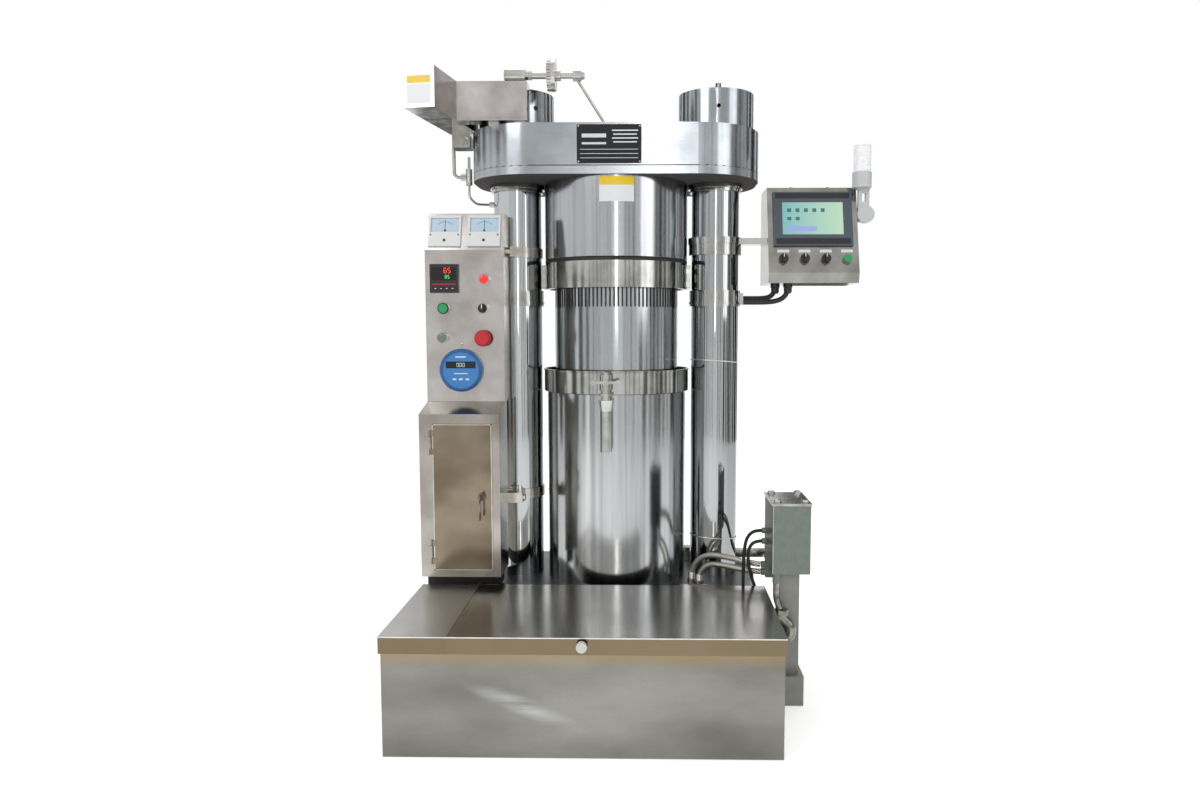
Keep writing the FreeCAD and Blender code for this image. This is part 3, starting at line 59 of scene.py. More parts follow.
def add_node(tree, kind, values={}, links={}, **fields):
    """Adds a shader node with its settings, its input values and its incoming links."""
    node = tree.nodes.new(kind)
    for field, value in fields.items():
        setattr(node, field, value)
    for socket, value in values.items():
        node.inputs[socket].default_value = value
    for socket, source in links.items():
        tree.links.new(source, node.inputs[socket])
    return node


def new_material(name, code, metallic, roughness, ior=1.5, **values):
    """A material with its colour, metal, roughness and index of refraction on the shader itself."""
    made = bpy.data.materials.new(name)
    made.use_nodes = True
    tree = made.node_tree
    shader = tree.nodes["Principled BSDF"]
    shader.inputs["Base Color"].default_value = linear(code)
    shader.inputs["Metallic"].default_value = metallic
    shader.inputs["Roughness"].default_value = roughness
    shader.inputs["IOR"].default_value = ior
    for socket, value in values.items():
        shader.inputs[socket.replace("_", " ")].default_value = value
    made.diffuse_color = linear(code)
    return made, tree, shader


# Studio: a white floor that keeps the shadow, a white surround, three soft lamps and a tall narrow one for the
# bright line down the round pieces. Grey cards stand all round, seen only by polished metal.
def direct_rays(tree):
    """1 for rays from the camera, off a mirror or through glass, and 0 for all others."""
    ray = add_node(tree, "ShaderNodeLightPath")
    seen = ray.outputs["Is Camera Ray"]
    for kind in ("Is Glossy Ray", "Is Transmission Ray"):
        seen = add_node(tree, "ShaderNodeMath", links={0: seen, 1: ray.outputs[kind]}, operation="MAXIMUM").outputs[0]
    return seen


world = bpy.data.worlds.new("white_surround")
bpy.context.scene.world = world
world.use_nodes = True
tree = world.node_tree
fill = add_node(tree, "ShaderNodeBackground", {"Color": (1, 1, 1, 1), "Strength": 0.62})
white = add_node(tree, "ShaderNodeBackground", {"Color": (1, 1, 1, 1), "Strength": 1.0})
either = add_node(tree, "ShaderNodeMixShader", links={0: direct_rays(tree), 1: fill.outputs[0], 2: white.outputs[0]})
tree.links.new(either.outputs[0], tree.nodes["World Output"].inputs["Surface"])


def stage_mesh(name, corners, faces, made):
    """A flat piece of the studio that isn't part of the press."""
    mesh = bpy.data.meshes.new(name)
    mesh.from_pydata(corners, [], faces)
    mesh.materials.append(made)
    thing = bpy.data.objects.new(name, mesh)
    bpy.context.collection.objects.link(thing)
    return thing


floor_paint, tree, shader = new_material("floor_paint_white_matt", "#f2f2f2", 0, 0.9)
lift = add_node(tree, "ShaderNodeMath", {1: 0.47}, {0: direct_rays(tree)}, operation="MULTIPLY")
glow = add_node(tree, "ShaderNodeEmission", links={"Strength": lift.outputs[0]})
both = add_node(tree, "ShaderNodeAddShader", links={0: shader.outputs[0], 1: glow.outputs[0]})
tree.links.new(both.outputs[0], tree.nodes["Material Output"].inputs["Surface"])
FLOOR_REACH, FLOOR_DROP = 30, -0.001
corners = [(FLOOR_REACH * i, FLOOR_REACH * j, FLOOR_DROP) for i, j in ((-1, -1), (1, -1), (1, 1), (-1, 1))]
stage_mesh("studio_floor", corners, [(0, 1, 2, 3)], floor_paint)

CARD_GREYS = ["#1c1f22", "#4a4d4e", "#767976", "#a39f98"]
CARD_AWAY, CARD_TOP = 4.6, 3.2
# Between two directions on the left the cards leave a gap in height, so the barrel stays bright on that side.
GAP_FROM, GAP_TO, GAP_LOW, GAP_HIGH = -150, -38, 1.3, 2.05
CARDS = [
    # direction in degrees from the camera side, width in degrees, grey
    (16, 2.2, 2), (22, 1.4, 1), (29, 2.6, 2), (37, 1.6, 3), (47, 7, 1), (58, 7, 3), (67, 6, 2), (75, 7, 1),
    (84, 6, 2), (93, 5, 3),
    (104, 9, 0), (122, 16, 0), (145, 12, 0), (163, 6, 1),
    (-7, 1.2, 2), (-12, 1.0, 1), (-17, 1.2, 3), (-22, 1.0, 2), (-28, 1.4, 1), (-34, 1.2, 2), (-40, 3, 3),
    (-52, 6, 2), (-66, 9, 1), (-82, 4, 3), (-100, 9, 0), (-120, 16, 0), (-143, 12, 0), (-162, 6, 1),
]
for number, grey in enumerate(CARD_GREYS):
    corners, faces = [], []
    for middle, wide, shade in CARDS:
        if shade != number:
            continue
        bands = [(0, GAP_LOW), (GAP_HIGH, CARD_TOP)] if GAP_FROM < middle < GAP_TO else [(0, CARD_TOP)]
        for low, high in bands:
            start = len(corners)
            for side, height in ((-1, low), (1, low), (1, high), (-1, high)):
                turn = math.radians(middle + side * wide / 2)
                corners.append((CARD_AWAY * math.sin(turn), -CARD_AWAY * math.cos(turn), height))
            faces.append(tuple(range(start, start + 4)))
    card, tree, shader = new_material("card_grey_%d" % (number + 1), grey, 0, 1)
    glow = add_node(tree, "ShaderNodeEmission", {"Color": linear(grey), "Strength": 1})
    tree.links.new(glow.outputs[0], tree.nodes["Material Output"].inputs["Surface"])
    cards = stage_mesh("studio_cards_%d" % (number + 1), corners, faces, card)
    cards.visible_camera = cards.visible_diffuse = cards.visible_shadow = cards.visible_transmission = False


def lamp(name, place, aim, wide, high, watts):
    """A soft rectangular lamp that looks at a point."""
    light = bpy.data.lights.new(name, "AREA")
    light.shape = "RECTANGLE"
    light.size, light.size_y, light.energy = wide, high, watts
    thing = bpy.data.objects.new(name, light)
    thing.location = place
    thing.rotation_euler = (Vector(aim) - Vector(place)).to_track_quat("-Z", "Y").to_euler()
    bpy.context.collection.objects.link(thing)


lamp("key_lamp", (-2.2, -3.0, 2.9), (0, 0, 0.8), 1.6, 1.6, 40)
lamp("fill_lamp", (3.0, -2.4, 1.8), (0, 0, 0.7), 1.4, 1.8, 16)
lamp("line_lamp", (0.15, -4.2, 2.0), (0, 0, 0.9), 0.14, 2.4, 9)
lamp("top_lamp", (0, 0.6, 3.6), (0, 0, 0.8), 2.4, 1.6, 26)


# Hoses, leads and console cables. Two hoses of woven stainless wire over rubber run from the bed to the valve
# box, two black rubber leads drop from the box to the tank, and two black cables leave the console.
def bump_surface(tree, shader, scale, detail, strength, depth):
    """Bumps a surface by depth metres with a noise of that scale, and returns the noise."""
    noise = add_node(tree, "ShaderNodeTexNoise", {"Scale": scale, "Detail": detail}).outputs[0]
    dent = add_node(tree, "ShaderNodeBump", {"Strength": strength, "Distance": depth}, {"Height": noise})
    tree.links.new(dent.outputs[0], shader.inputs["Normal"])
    return noise


def vary_roughness(tree, shader, noise, low, high):
    """Lets the roughness wander from low to high with a noise, which is given as a socket or as its scale."""
    if not isinstance(noise, bpy.types.NodeSocket):
        noise = add_node(tree, "ShaderNodeTexNoise", {"Scale": noise}).outputs[0]
    rough = add_node(tree, "ShaderNodeMapRange", {"To Min": low, "To Max": high}, {"Value": noise})
    tree.links.new(rough.outputs[0], shader.inputs["Roughness"])


braid, tree, shader = new_material("stainless_braided_sleeve", "#a9a49b", 1, 0.34)
# The woven strands cross at a slant, 7 of them each way round the hose and 32 along it.
where = add_node(tree, "ShaderNodeTexCoord")
split = add_node(tree, "ShaderNodeSeparateXYZ", links={0: where.outputs["UV"]})
along = add_node(tree, "ShaderNodeMath", {1: 32.0}, {0: split.outputs[0]}, operation="MULTIPLY")
around = add_node(tree, "ShaderNodeMath", {1: 7.0}, {0: split.outputs[1]}, operation="MULTIPLY")
crossing = []
for way in ("ADD", "SUBTRACT"):
    lean = add_node(tree, "ShaderNodeMath", links={0: along.outputs[0], 1: around.outputs[0]}, operation=way)
    turn = add_node(tree, "ShaderNodeMath", {1: 2 * math.pi}, {0: lean.outputs[0]}, operation="MULTIPLY")
    crossing.append(add_node(tree, "ShaderNodeMath", links={0: turn.outputs[0]}, operation="SINE"))
weave = add_node(tree, "ShaderNodeMath", links={0: crossing[0].outputs[0], 1: crossing[1].outputs[0]},
                 operation="MAXIMUM")
shade = add_node(tree, "ShaderNodeMapRange", {"From Min": -0.6, "From Max": 1.0}, {"Value": weave.outputs[0]})
tone = add_node(tree, "ShaderNodeMix", {"A": linear("#4b4843"), "B": linear("#cfcac0")},
                {"Factor": shade.outputs[0]}, data_type="RGBA")
dent = add_node(tree, "ShaderNodeBump", {"Strength": 0.7, "Distance": 0.0006}, {"Height": weave.outputs[0]})
tree.links.new(tone.outputs["Result"], shader.inputs["Base Color"])
tree.links.new(dent.outputs[0], shader.inputs["Normal"])

sheath, tree, shader = new_material("rubber_extruded_black", "#0b0c0d", 0, 0.5, 1.5)
# Extruded sheath has a faint grain, about 1 mm wide, that breaks the highlight.
vary_roughness(tree, shader, bump_surface(tree, shader, 900.0, 3.0, 0.25, 0.0002), 0.44, 0.6)

CORDS = {
    # points in mm, radius, material, body, stiffness, length
    "braided_hose_front": ([(214, -124, 230.3), (214, -124, 248.3), (220.1, -128.5, 265.5), (231.3, -137, 278.5),
                            (246, -148, 286), (268, -163, 287.5), (298, -181, 286.5), (330, -197, 283.5),
                            (359.9, -200, 282)], 7, braid, "root", "stiff", 0.202),
    "braided_hose_rear": ([(196, -104, 230.3), (196, -104, 255), (204.3, -109.8, 278.1), (219.6, -120, 295.8),
                           (239.6, -133, 305.4), (264, -150, 307.5), (294, -172, 307), (327, -195, 303.5),
                           (359.4, -200, 300)], 7, braid, "root", "stiff", 0.240),
    "power_lead": ([(359.7, -215, 388), (344, -215, 387.4), (331, -215, 379.5), (322.5, -215, 366),
                    (318.5, -214, 345), (316.5, -214, 315), (316, -213.5, 275), (316, -214.3, 240),
                    (316, -215, 212.3)], 4, sheath, "root", "medium", 0.197),
    "signal_lead": ([(359.7, -215, 362), (345, -215, 361), (333, -215, 352), (327, -215, 334), (328, -214, 305),
                     (336, -214, 272), (346, -215, 245), (350, -215, 228), (350, -215, 212.3)],
                    4, sheath, "root", "medium", 0.172),
    "console_cable_front": ([(446, -12, 990.7), (446, -12, 972), (436, -12, 955), (416, -11, 946), (384, -9, 943),
                             (330.3, -9, 943.5)], 6.5, sheath, "arm", "medium", 0.145),
    "console_cable_rear": ([(416, 10, 990.7), (416, 10, 975.5), (408.4, 10, 962.3), (395.2, 9.5, 954.7),
                            (362.5, 9, 953.4), (330.3, 9, 954)], 6.5, sheath, "arm", "medium", 0.109),
}
for name, (points, radius, made, body, stiffness, length) in CORDS.items():
    curve = bpy.data.curves.new(name + "_line", "CURVE")
    curve.dimensions = "3D"
    curve.bevel_depth = radius / 1000
    curve.bevel_resolution = 6
    curve.resolution_u = 16
    curve.use_fill_caps = True
    spline = curve.splines.new("NURBS")
    spline.points.add(len(points) - 1)
    for spot, (x, y, z) in zip(spline.points, points):
        spot.co = (x / 1000, y / 1000, z / 1000, 1)
    spline.order_u = 3
    spline.use_endpoint_u = True
    curve.materials.append(made)
    line = bpy.data.objects.new(name + "_line", curve)
    bpy.context.collection.objects.link(line)
    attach(line, body)
    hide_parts(name)
    start = tuple(c / 1000 for c in points[0])


def piece(name, corners, faces, made, body, smooth=False):
    """Makes an object from corners in millimetres in the row frame, and lets it ride on a body."""
    mesh = bpy.data.meshes.new(name)
    mesh.from_pydata([tuple(c / 1000 for c in corner) for corner in corners], [], faces)
    mesh.polygons.foreach_set("use_smooth", [smooth] * len(faces))
    mesh.materials.append(made)
    thing = bpy.data.objects.new(name, mesh)
    bpy.context.collection.objects.link(thing)
    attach(thing, body)
    return thing


def turned_piece(name, profile, made, body, place, axis=(0, 0, 1), steps=64, hoop=False):
    """A turned piece from (radius, height) points, standing at place with its height along axis. A hoop has a
    closed section, and any other piece is closed by a flat end."""
    stand = Vector((0, 0, 1)).rotation_difference(Vector(axis)).to_matrix()
    corners, faces = [], []
    for radius, height in profile:
        for i in range(steps):
            turn = 2 * math.pi * i / steps
            spot = stand @ Vector((radius * math.cos(turn), radius * math.sin(turn), height)) + Vector(place)
            corners.append(tuple(spot))
    for ring in range(len(profile) - (0 if hoop else 1)):
        after = (ring + 1) % len(profile)
        for i in range(steps):
            j = (i + 1) % steps
            faces.append((ring * steps + i, ring * steps + j, after * steps + j, after * steps + i))
    if not hoop:
        faces.append(tuple(reversed(range(steps))))
        faces.append(tuple(range((len(profile) - 1) * steps, len(profile) * steps)))
    thing = piece(name, corners, faces, made, body, smooth=True)
    sharpen(thing)
    return thing


def sharpen(thing, degrees=35):
    """Keeps edges sharper than an angle crisp on a smooth piece."""
    shape = bmesh.new()
    shape.from_mesh(thing.data)
    bmesh.ops.recalc_face_normals(shape, faces=shape.faces)
    for edge in shape.edges:
        edge.smooth = len(edge.link_faces) == 2 and edge.calc_face_angle(0) < math.radians(degrees)
    shape.to_mesh(thing.data)
    shape.free()


def paint_node(made, *names):
    """Gives CAD nodes a finish."""
    for name in names:
        for holder in nodes[name].material_slots:
            holder.material = made


def steel_sheet(name, tones, roughness, grain_mm, stretch, wave_mm, wave_depth, patch_mm=200, patch_axes=(1, 1, 1),
                patch_turn=(0, 0, 0)):
    """Steel between two tones, in patches patch_mm wide that patch_axes draw out. Its grain lines are grain_mm
    apart and run along the axes where stretch is small. A waviness of the sheet bends its reflections."""
    made, tree, shader = new_material(name, tones[0], 1, roughness)
    where = add_node(tree, "ShaderNodeTexCoord").outputs["Object"]
    drawn = add_node(tree, "ShaderNodeMapping", {"Scale": stretch}, {"Vector": where}).outputs[0]
    laid = add_node(tree, "ShaderNodeMapping", {"Scale": patch_axes, "Rotation": patch_turn}, {"Vector": where})
    grain = add_node(tree, "ShaderNodeTexNoise", {"Scale": 1000 / grain_mm, "Detail": 2.0}, {"Vector": drawn})
    wave = add_node(tree, "ShaderNodeTexNoise", {"Scale": 1000 / wave_mm, "Detail": 1.0}, {"Vector": where})
    patch = add_node(tree, "ShaderNodeTexNoise", {"Scale": 1000 / patch_mm, "Detail": 3.0},
                     {"Vector": laid.outputs[0]})
    level = add_node(tree, "ShaderNodeMapRange", {"From Min": 0.32, "From Max": 0.68}, {"Value": patch.outputs[0]})
    tone = add_node(tree, "ShaderNodeMix", {"A": linear(tones[0]), "B": linear(tones[1])},
                    {"Factor": level.outputs[0]}, data_type="RGBA")
    rough = add_node(tree, "ShaderNodeMapRange", {"From Min": 0.3, "From Max": 0.7, "To Min": roughness * 0.8,
                                                  "To Max": roughness * 1.25}, {"Value": grain.outputs[0]})
    bend = add_node(tree, "ShaderNodeBump", {"Strength": 1.0, "Distance": wave_depth / 1000},
                    {"Height": wave.outputs[0]})
    cut = add_node(tree, "ShaderNodeBump", {"Strength": 0.15, "Distance": 0.00002},
                   {"Height": grain.outputs[0], "Normal": bend.outputs[0]})
    tree.links.new(tone.outputs["Result"], shader.inputs["Base Color"])
    tree.links.new(rough.outputs[0], shader.inputs["Roughness"])
    tree.links.new(cut.outputs[0], shader.inputs["Normal"])
    return made


# Base frame, post and bed. Welded rails and a square post, sprayed with silver-grey enamel that has a slight
# orange peel. The bed is a thick slab of dark milled steel.
def enamel_coat(name, codes, metallic, roughness, cloud, peel, detail, strength, depth):
    """Enamel between the last two of three codes in clouds, with an orange peel. cloud and peel are noise scales."""
    made, tree, shader = new_material(name, codes[0], metallic, roughness)
    dust = add_node(tree, "ShaderNodeTexNoise", {"Scale": cloud, "Detail": 6.0})
    tone = add_node(tree, "ShaderNodeMix", {"A": linear(codes[1]), "B": linear(codes[2])},
                    {"Factor": dust.outputs[0]}, data_type="RGBA")
    tree.links.new(tone.outputs["Result"], shader.inputs["Base Color"])
    bump_surface(tree, shader, peel, detail, strength, depth)
    return made


enamel = enamel_coat("steel_sprayed_grey_enamel", ("#84857f", "#74746e", "#94958f"), 0.25, 0.42, 9.0, 420.0, 2.0,
                     0.3, 0.0002)
paint_node(enamel, "base_frame", "pump_motor", "main_cylinder")
bed_steel = steel_sheet("steel_cast_milled_dark", ("#585b5d", "#666969"), 0.36, 1.0, (0.05, 1, 1), 90, 0.1, 80)
paint_node(bed_steel, "machine_bed")

# Columns and their nuts. The columns are ground and hard chromed, so they mirror the room with hardly a wave.
# The nuts are turned steel, and two bands of thin wire hold a lead to the right column.
chrome = steel_sheet("steel_ground_hard_chromed", ("#8d9091", "#bcbfbf"), 0.06, 1.5, (1, 1, 0.02), 160, 0.25, 60,
                     (1, 1, 0.02))
turned_steel = steel_sheet("steel_turned_bright", ("#a5a49f", "#c3c2bd"), 0.2, 0.8, (0.05, 0.05, 1), 60, 0.05, 40)
wire, tree, shader = new_material("wire_tinned_drawn", "#dcdcd6", 1, 0.3)
bump_surface(tree, shader, 700.0, 2.0, 0.3, 0.0001)
paint_node(chrome, "columns", "ram_plunger")
paint_node(turned_steel, "column_nuts", "cylinder_gland", "barrel_head", "filter_plate", "clamp_bolts",
           "spindle_supports", "hand_spindle")


def tube_faces(count, section):
    """Faces of a closed ring whose corners are listed section by section."""
    faces = []
    for i in range(count):
        k = (i + 1) % count
        for j in range(section):
            m = (j + 1) % section
            faces.append((i * section + j, k * section + j, k * section + m, i * section + m))
    return faces


COLUMN_X = 257
WIRE_AWAY, WIRE_RADIUS, WIRE_SLANT = 62.4, 1.3, 5
for number, height in enumerate((790, 326)):
    corners = []
    for i in range(96):
        around = 2 * math.pi * i / 96
        drop = WIRE_SLANT * math.cos(around + 2.4)
        for j in range(12):
            turn = 2 * math.pi * j / 12
            away = WIRE_AWAY + WIRE_RADIUS * math.cos(turn)
            corners.append((COLUMN_X + away * math.cos(around), away * math.sin(around),
                            height + WIRE_RADIUS * math.sin(turn) + drop))
    piece("column_wire_%d" % (number + 1), corners, tube_faces(96, 12), wire, "root", smooth=True)


# Beam, its cladding and the nut covers. Polished stainless sheet 3 mm thick, folded and welded, whose waviness
# bends the reflections and whose fine polish runs along it.
mirror = steel_sheet("stainless_sheet_mirror_polished", ("#979ca0", "#b8bdc2"), 0.17, 1.2, (0.03, 0.03, 1), 90, 0.45,
                     160)
collar_steel = steel_sheet("stainless_turned_polished", ("#9a9b98", "#b8b9b6"), 0.12, 0.9, (0.04, 0.04, 1), 120, 0.12,
                           60)
paint_node(mirror, "beam_cladding", "nut_covers")
# A black plug closes a hole in the left cover, to the right of its front.
plug_and_groove_shade_black, tree, shader = new_material("rubber_plug_black", "#151618", 0, 0.55)
vary_roughness(tree, shader, 1500.0, 0.45, 0.65)
COVER_RADIUS = 95.8
plug_turn = math.radians(38)
turned_piece("cover_plug", [(6.3, 0), (6.0, 0.7), (0.1, 0.9)], plug_and_groove_shade_black, "root",
             (-COLUMN_X + COVER_RADIUS * math.sin(plug_turn), -COVER_RADIUS * math.cos(plug_turn), 1424),
             (math.sin(plug_turn), -math.cos(plug_turn), 0), 24)


def share_along(tree, kind, axis, start, stop, most=1.0):
    """Rises from 0 to most while one axis of a coordinate such as Object or Normal goes from start to stop."""
    where = add_node(tree, "ShaderNodeTexCoord")
    split = add_node(tree, "ShaderNodeSeparateXYZ", links={0: where.outputs[kind]})
    return add_node(tree, "ShaderNodeMapRange", {"From Min": start, "From Max": stop, "To Max": most},
                    {"Value": split.outputs[axis]}).outputs[0]


def change_over(made, socket, factor, value):
    """Mixes a colour code or a number over what a material's socket has already, where factor is 1."""
    tree = made.node_tree
    target = tree.nodes["Principled BSDF"].inputs[socket]
    coloured = isinstance(value, str)
    over = add_node(tree, "ShaderNodeMix", {"B": linear(value) if coloured else value},
                    {"Factor": factor, "A": target.links[0].from_socket}, data_type="RGBA" if coloured else "FLOAT")
    tree.links.new(over.outputs["Result"], target)


# The flange under the cladding is milled steel, and a black strip between them is painted shade in the joint
# groove. Its underside is painted dark, dull and not metal, as painted shade under the beam.
flange_steel = steel_sheet("steel_milled_beam_flange", ("#979ca0", "#b8bdc2"), 0.2, 1.2, (0.03, 0.03, 1), 90, 0.3,
                           160)
tree = flange_steel.node_tree
underside_shade = share_along(tree, "Normal", 2, -0.8, -0.95)
change_over(flange_steel, "Base Color", underside_shade, "#3f3b37")
change_over(flange_steel, "Roughness", underside_shade, 0.85)
metal = add_node(tree, "ShaderNodeMath", {0: 1.0}, {1: underside_shade}, operation="SUBTRACT")
tree.links.new(metal.outputs[0], tree.nodes["Principled BSDF"].inputs["Metallic"])
paint_node(flange_steel, "top_beam")
BEAM_HALF, BEAM_CORNER = (202, 30), 160
# A thin black strip round the beam at the joint is painted shade in the groove between cladding and flange.
JOINT_LOW, JOINT_HIGH, JOINT_INNER, JOINT_OUTER = 1262.9, 1265.1, -0.3, 0.12
corners = []
for sx, sy, begin in ((1, 1, 0), (-1, 1, 90), (-1, -1, 180), (1, -1, 270)):
    for i in range(13):
        turn = math.radians(begin + 7.5 * i)
        ox, oy = math.cos(turn), math.sin(turn)
        x, y = sx * BEAM_HALF[0] + BEAM_CORNER * ox, sy * BEAM_HALF[1] + BEAM_CORNER * oy
        for out, rise in ((JOINT_INNER, JOINT_LOW), (JOINT_OUTER, JOINT_LOW), (JOINT_OUTER, JOINT_HIGH),
                          (JOINT_INNER, JOINT_HIGH)):
            corners.append((x + out * ox, y + out * oy, rise))
piece("beam_joint_shade_line", corners, tube_faces(4 * 13, 4), plug_and_groove_shade_black, "root")
paint_node(collar_steel, "column_collars", "clamp_ring", "swing_arm")

# Rating plate on the beam. Black anodised aluminium, 154 by 91 mm, held by four rivets. Plain bars are etched
# into it, down to the bare metal.
anodised, tree, shader = new_material("aluminium_anodised_black", "#1b1c1f", 0.6, 0.38)
vary_roughness(tree, shader, 1500.0, 0.3, 0.46)
bare_metal, tree, shader = new_material("aluminium_etched_bare", "#b9babb", 1, 0.35)
vary_roughness(tree, shader, 1200.0, 0.28, 0.44)


def slab(name, made, body, centre, right, up, wide, high, thick, corner=0.0):
    """A plate with round corners lying on a surface, its back at centre and its face along right x up."""
    right, up = Vector(right).normalized(), Vector(up).normalized()
    out = right.cross(up)
    centre = Vector(centre)
    edge = []
    steps = 6 if corner > 0 else 1
    for sx, sy, begin in ((1, 1, 0), (-1, 1, 90), (-1, -1, 180), (1, -1, 270)):
        for i in range(steps):
            turn = math.radians(begin + (90 * i / (steps - 1) if steps > 1 else 45))
            x = sx * (wide / 2 - corner) + corner * math.cos(turn) if corner > 0 else sx * wide / 2
            y = sy * (high / 2 - corner) + corner * math.sin(turn) if corner > 0 else sy * high / 2
            edge.append((x, y))
    lip = min(0.25 * thick, 0.4)
    corners = []
    for rise, inset in ((0, 0), (thick - lip, 0), (thick, lip)):
        for x, y in edge:
            corners.append(tuple(centre + right * (x * (1 - 2 * inset / wide)) + up * (y * (1 - 2 * inset / high))
                                 + out * rise))
    count = len(edge)
    faces = [tuple(reversed(range(count))), tuple(range(2 * count, 3 * count))]
    for ring in (0, 1):
        for i in range(count):
            j = (i + 1) % count
            faces.append((ring * count + i, ring * count + j, (ring + 1) * count + j, (ring + 1) * count + i))
    return piece(name, corners, faces, made, body)


def marks(name, made, body, centre, right, up, rects, thick):
    """Thin plates on a face as one piece. Each is (across, up, wide, high, turn in degrees) from centre."""
    right, up, centre = Vector(right).normalized(), Vector(up).normalized(), Vector(centre)
    corners, faces = [], []
    for across, rise, wide, high, turn in rects:
        start = len(corners)
        c, s = math.cos(math.radians(turn)), math.sin(math.radians(turn))
        for depth in (0, thick):
            for i, j in ((-1, -1), (1, -1), (1, 1), (-1, 1)):
                a, b = i * wide / 2, j * high / 2
                corners.append(tuple(centre + right * (across + a * c - b * s) + up * (rise + a * s + b * c)
                                     + right.cross(up) * depth))
        for face in ((3, 2, 1, 0), (4, 5, 6, 7), (0, 1, 5, 4), (1, 2, 6, 5), (2, 3, 7, 6), (3, 0, 4, 7)):
            faces.append(tuple(start + k for k in face))
    return piece(name, corners, faces, made, body)


FRONT, UP, TOWARDS = (1, 0, 0), (0, 0, 1), (0, -1, 0)
PLATE_X, PLATE_FACE, PLATE_Z = -10, -191.05, 1313.5
slab("rating_plate", anodised, "root", (PLATE_X, PLATE_FACE + 1, PLATE_Z), FRONT, UP, 154, 91, 1.0, 3)
bars = [(-36, 19, 58, 9, 0), (-36, 1, 58, 5, 0)]
bars += [(38, 31 - 9 * i, 62 - 6 * (i % 2), 3, 0) for i in range(4)]
bars += [(0, -13 - 10 * i, 138, 1.2, 0) for i in range(3)]
marks("rating_bars", bare_metal, "root", (PLATE_X, PLATE_FACE, PLATE_Z), FRONT, UP, bars, 0.15)
for number, (across, rise) in enumerate(((-73, 41.5), (73, 41.5), (-73, -41.5), (73, -41.5))):
    turned_piece("rating_rivet_%d" % (number + 1), [(2.0, 0), (1.9, 0.7), (1.2, 1.2), (0.1, 1.35)], bare_metal,
                 "root", (PLATE_X + across, PLATE_FACE + 0.05, PLATE_Z + rise), TOWARDS, 20)


# Pressing chamber. The barrel, its neck and the clamp ring are turned stainless with a satin cut round them, and
# a black rubber joint shows between ring and barrel. A plain sheet of white vinyl with a yellow band is stuck on
# the curve of the barrel.
def plastic(name, code, roughness, grain_mm, depth, change=0.12, **values):
    """Moulded plastic, rubber or vinyl with a fine texture grain_mm apart that also changes its tone."""
    made, tree, shader = new_material(name, code, 0, roughness, 1.49, **values)
    where = add_node(tree, "ShaderNodeTexCoord").outputs["Object"]
    grain = add_node(tree, "ShaderNodeTexNoise", {"Scale": 1000 / grain_mm, "Detail": 2.0}, {"Vector": where})
    cloud = add_node(tree, "ShaderNodeTexNoise", {"Scale": 14.0, "Detail": 4.0}, {"Vector": where})
    base = linear(code)
    dark = tuple(c * (1 - change) for c in base[:3]) + (1,)
    tone = add_node(tree, "ShaderNodeMix", {"A": dark, "B": base}, {"Factor": cloud.outputs[0]}, data_type="RGBA")
    dent = add_node(tree, "ShaderNodeBump", {"Strength": 0.4, "Distance": depth / 1000},
                    {"Height": grain.outputs[0]})
    tree.links.new(tone.outputs["Result"], shader.inputs["Base Color"])
    tree.links.new(dent.outputs[0], shader.inputs["Normal"])
    return made


BARREL_RADIUS = 184.5
JOINT_Z, JOINT_TALL = 1041.2, 7.6
barrel_steel = steel_sheet("stainless_turned_satin", ("#9a9ca0", "#bbbdc1"), 0.14, 0.7, (0.05, 0.05, 1), 150, 0.2, 26,
                           (1, 1, 0.02))
paint_node(barrel_steel, "press_barrel")
joint_rubber = plastic("rubber_moulded_black", "#141516", 0.6, 0.8, 0.1)
turned_piece("barrel_joint", [(BARREL_RADIUS - 2, 0), (BARREL_RADIUS - 0.2, 0), (BARREL_RADIUS - 0.2, JOINT_TALL),
                              (BARREL_RADIUS - 2, JOINT_TALL)], joint_rubber, "root", (0, 0, JOINT_Z), steps=128,
             hoop=True)


def bent_label(name, made, left, right, low, high, radius, thick):
    """A thin sheet lying on the front of an upright round piece."""
    corners, faces = [], []
    steps = 16
    for i in range(steps + 1):
        x = left + (right - left) * i / steps
        turn = math.asin(x / radius)
        for z in (low, high):
            for r in (radius, radius + thick):
                corners.append((r * math.sin(turn), -r * math.cos(turn), z))
    for i in range(steps):
        a, b = 4 * i, 4 * i + 4
        faces += [(a + 1, b + 1, b + 3, a + 3), (a, a + 2, b + 2, b), (a, b, b + 1, a + 1),
                  (a + 2, a + 3, b + 3, b + 2)]
    faces += [(0, 1, 3, 2), (4 * steps, 4 * steps + 2, 4 * steps + 3, 4 * steps + 1)]
    return piece(name, corners, faces, made, "root", smooth=False)


white_vinyl = plastic("vinyl_film_white", "#e4e6e8", 0.3, 2.0, 0.03, 0.05)
yellow_vinyl = plastic("vinyl_film_yellow", "#e8c61c", 0.3, 2.0, 0.03, 0.05)
LABEL_LEFT, LABEL_RIGHT, LABEL_TOP = -34, 49, 1239
bent_label("barrel_label", white_vinyl, LABEL_LEFT, LABEL_RIGHT, 1180, LABEL_TOP, BARREL_RADIUS + 0.05, 0.15)
bent_label("barrel_label_band", yellow_vinyl, LABEL_LEFT, LABEL_RIGHT, 1219, LABEL_TOP, BARREL_RADIUS + 0.2, 0.1)


# Ram, shroud and tray. The ram is hard chromed like the columns. The shroud is rolled stainless sheet with an
# upright grain and faint dents, the tray above it is spun and polished.
shroud_steel = steel_sheet("stainless_sheet_rolled_satin", ("#93969a", "#c6c8c6"), 0.15, 0.9, (1, 1, 0.03), 80, 0.3,
                           22, (1, 1, 0.015))
tray_steel = steel_sheet("stainless_spun_polished", ("#989996", "#b9bab7"), 0.12, 0.8, (0.05, 0.05, 1), 70, 0.12, 60)
ram_steel = steel_sheet("steel_ground_satin_chromed", ("#9da1a2", "#b3b7b8"), 0.15, 1.2, (1, 1, 0.03), 120, 0.1, 40,
                        (1, 1, 0.02))
paint_node(ram_steel, "ram_head")
paint_node(shroud_steel, "cylinder_shroud")
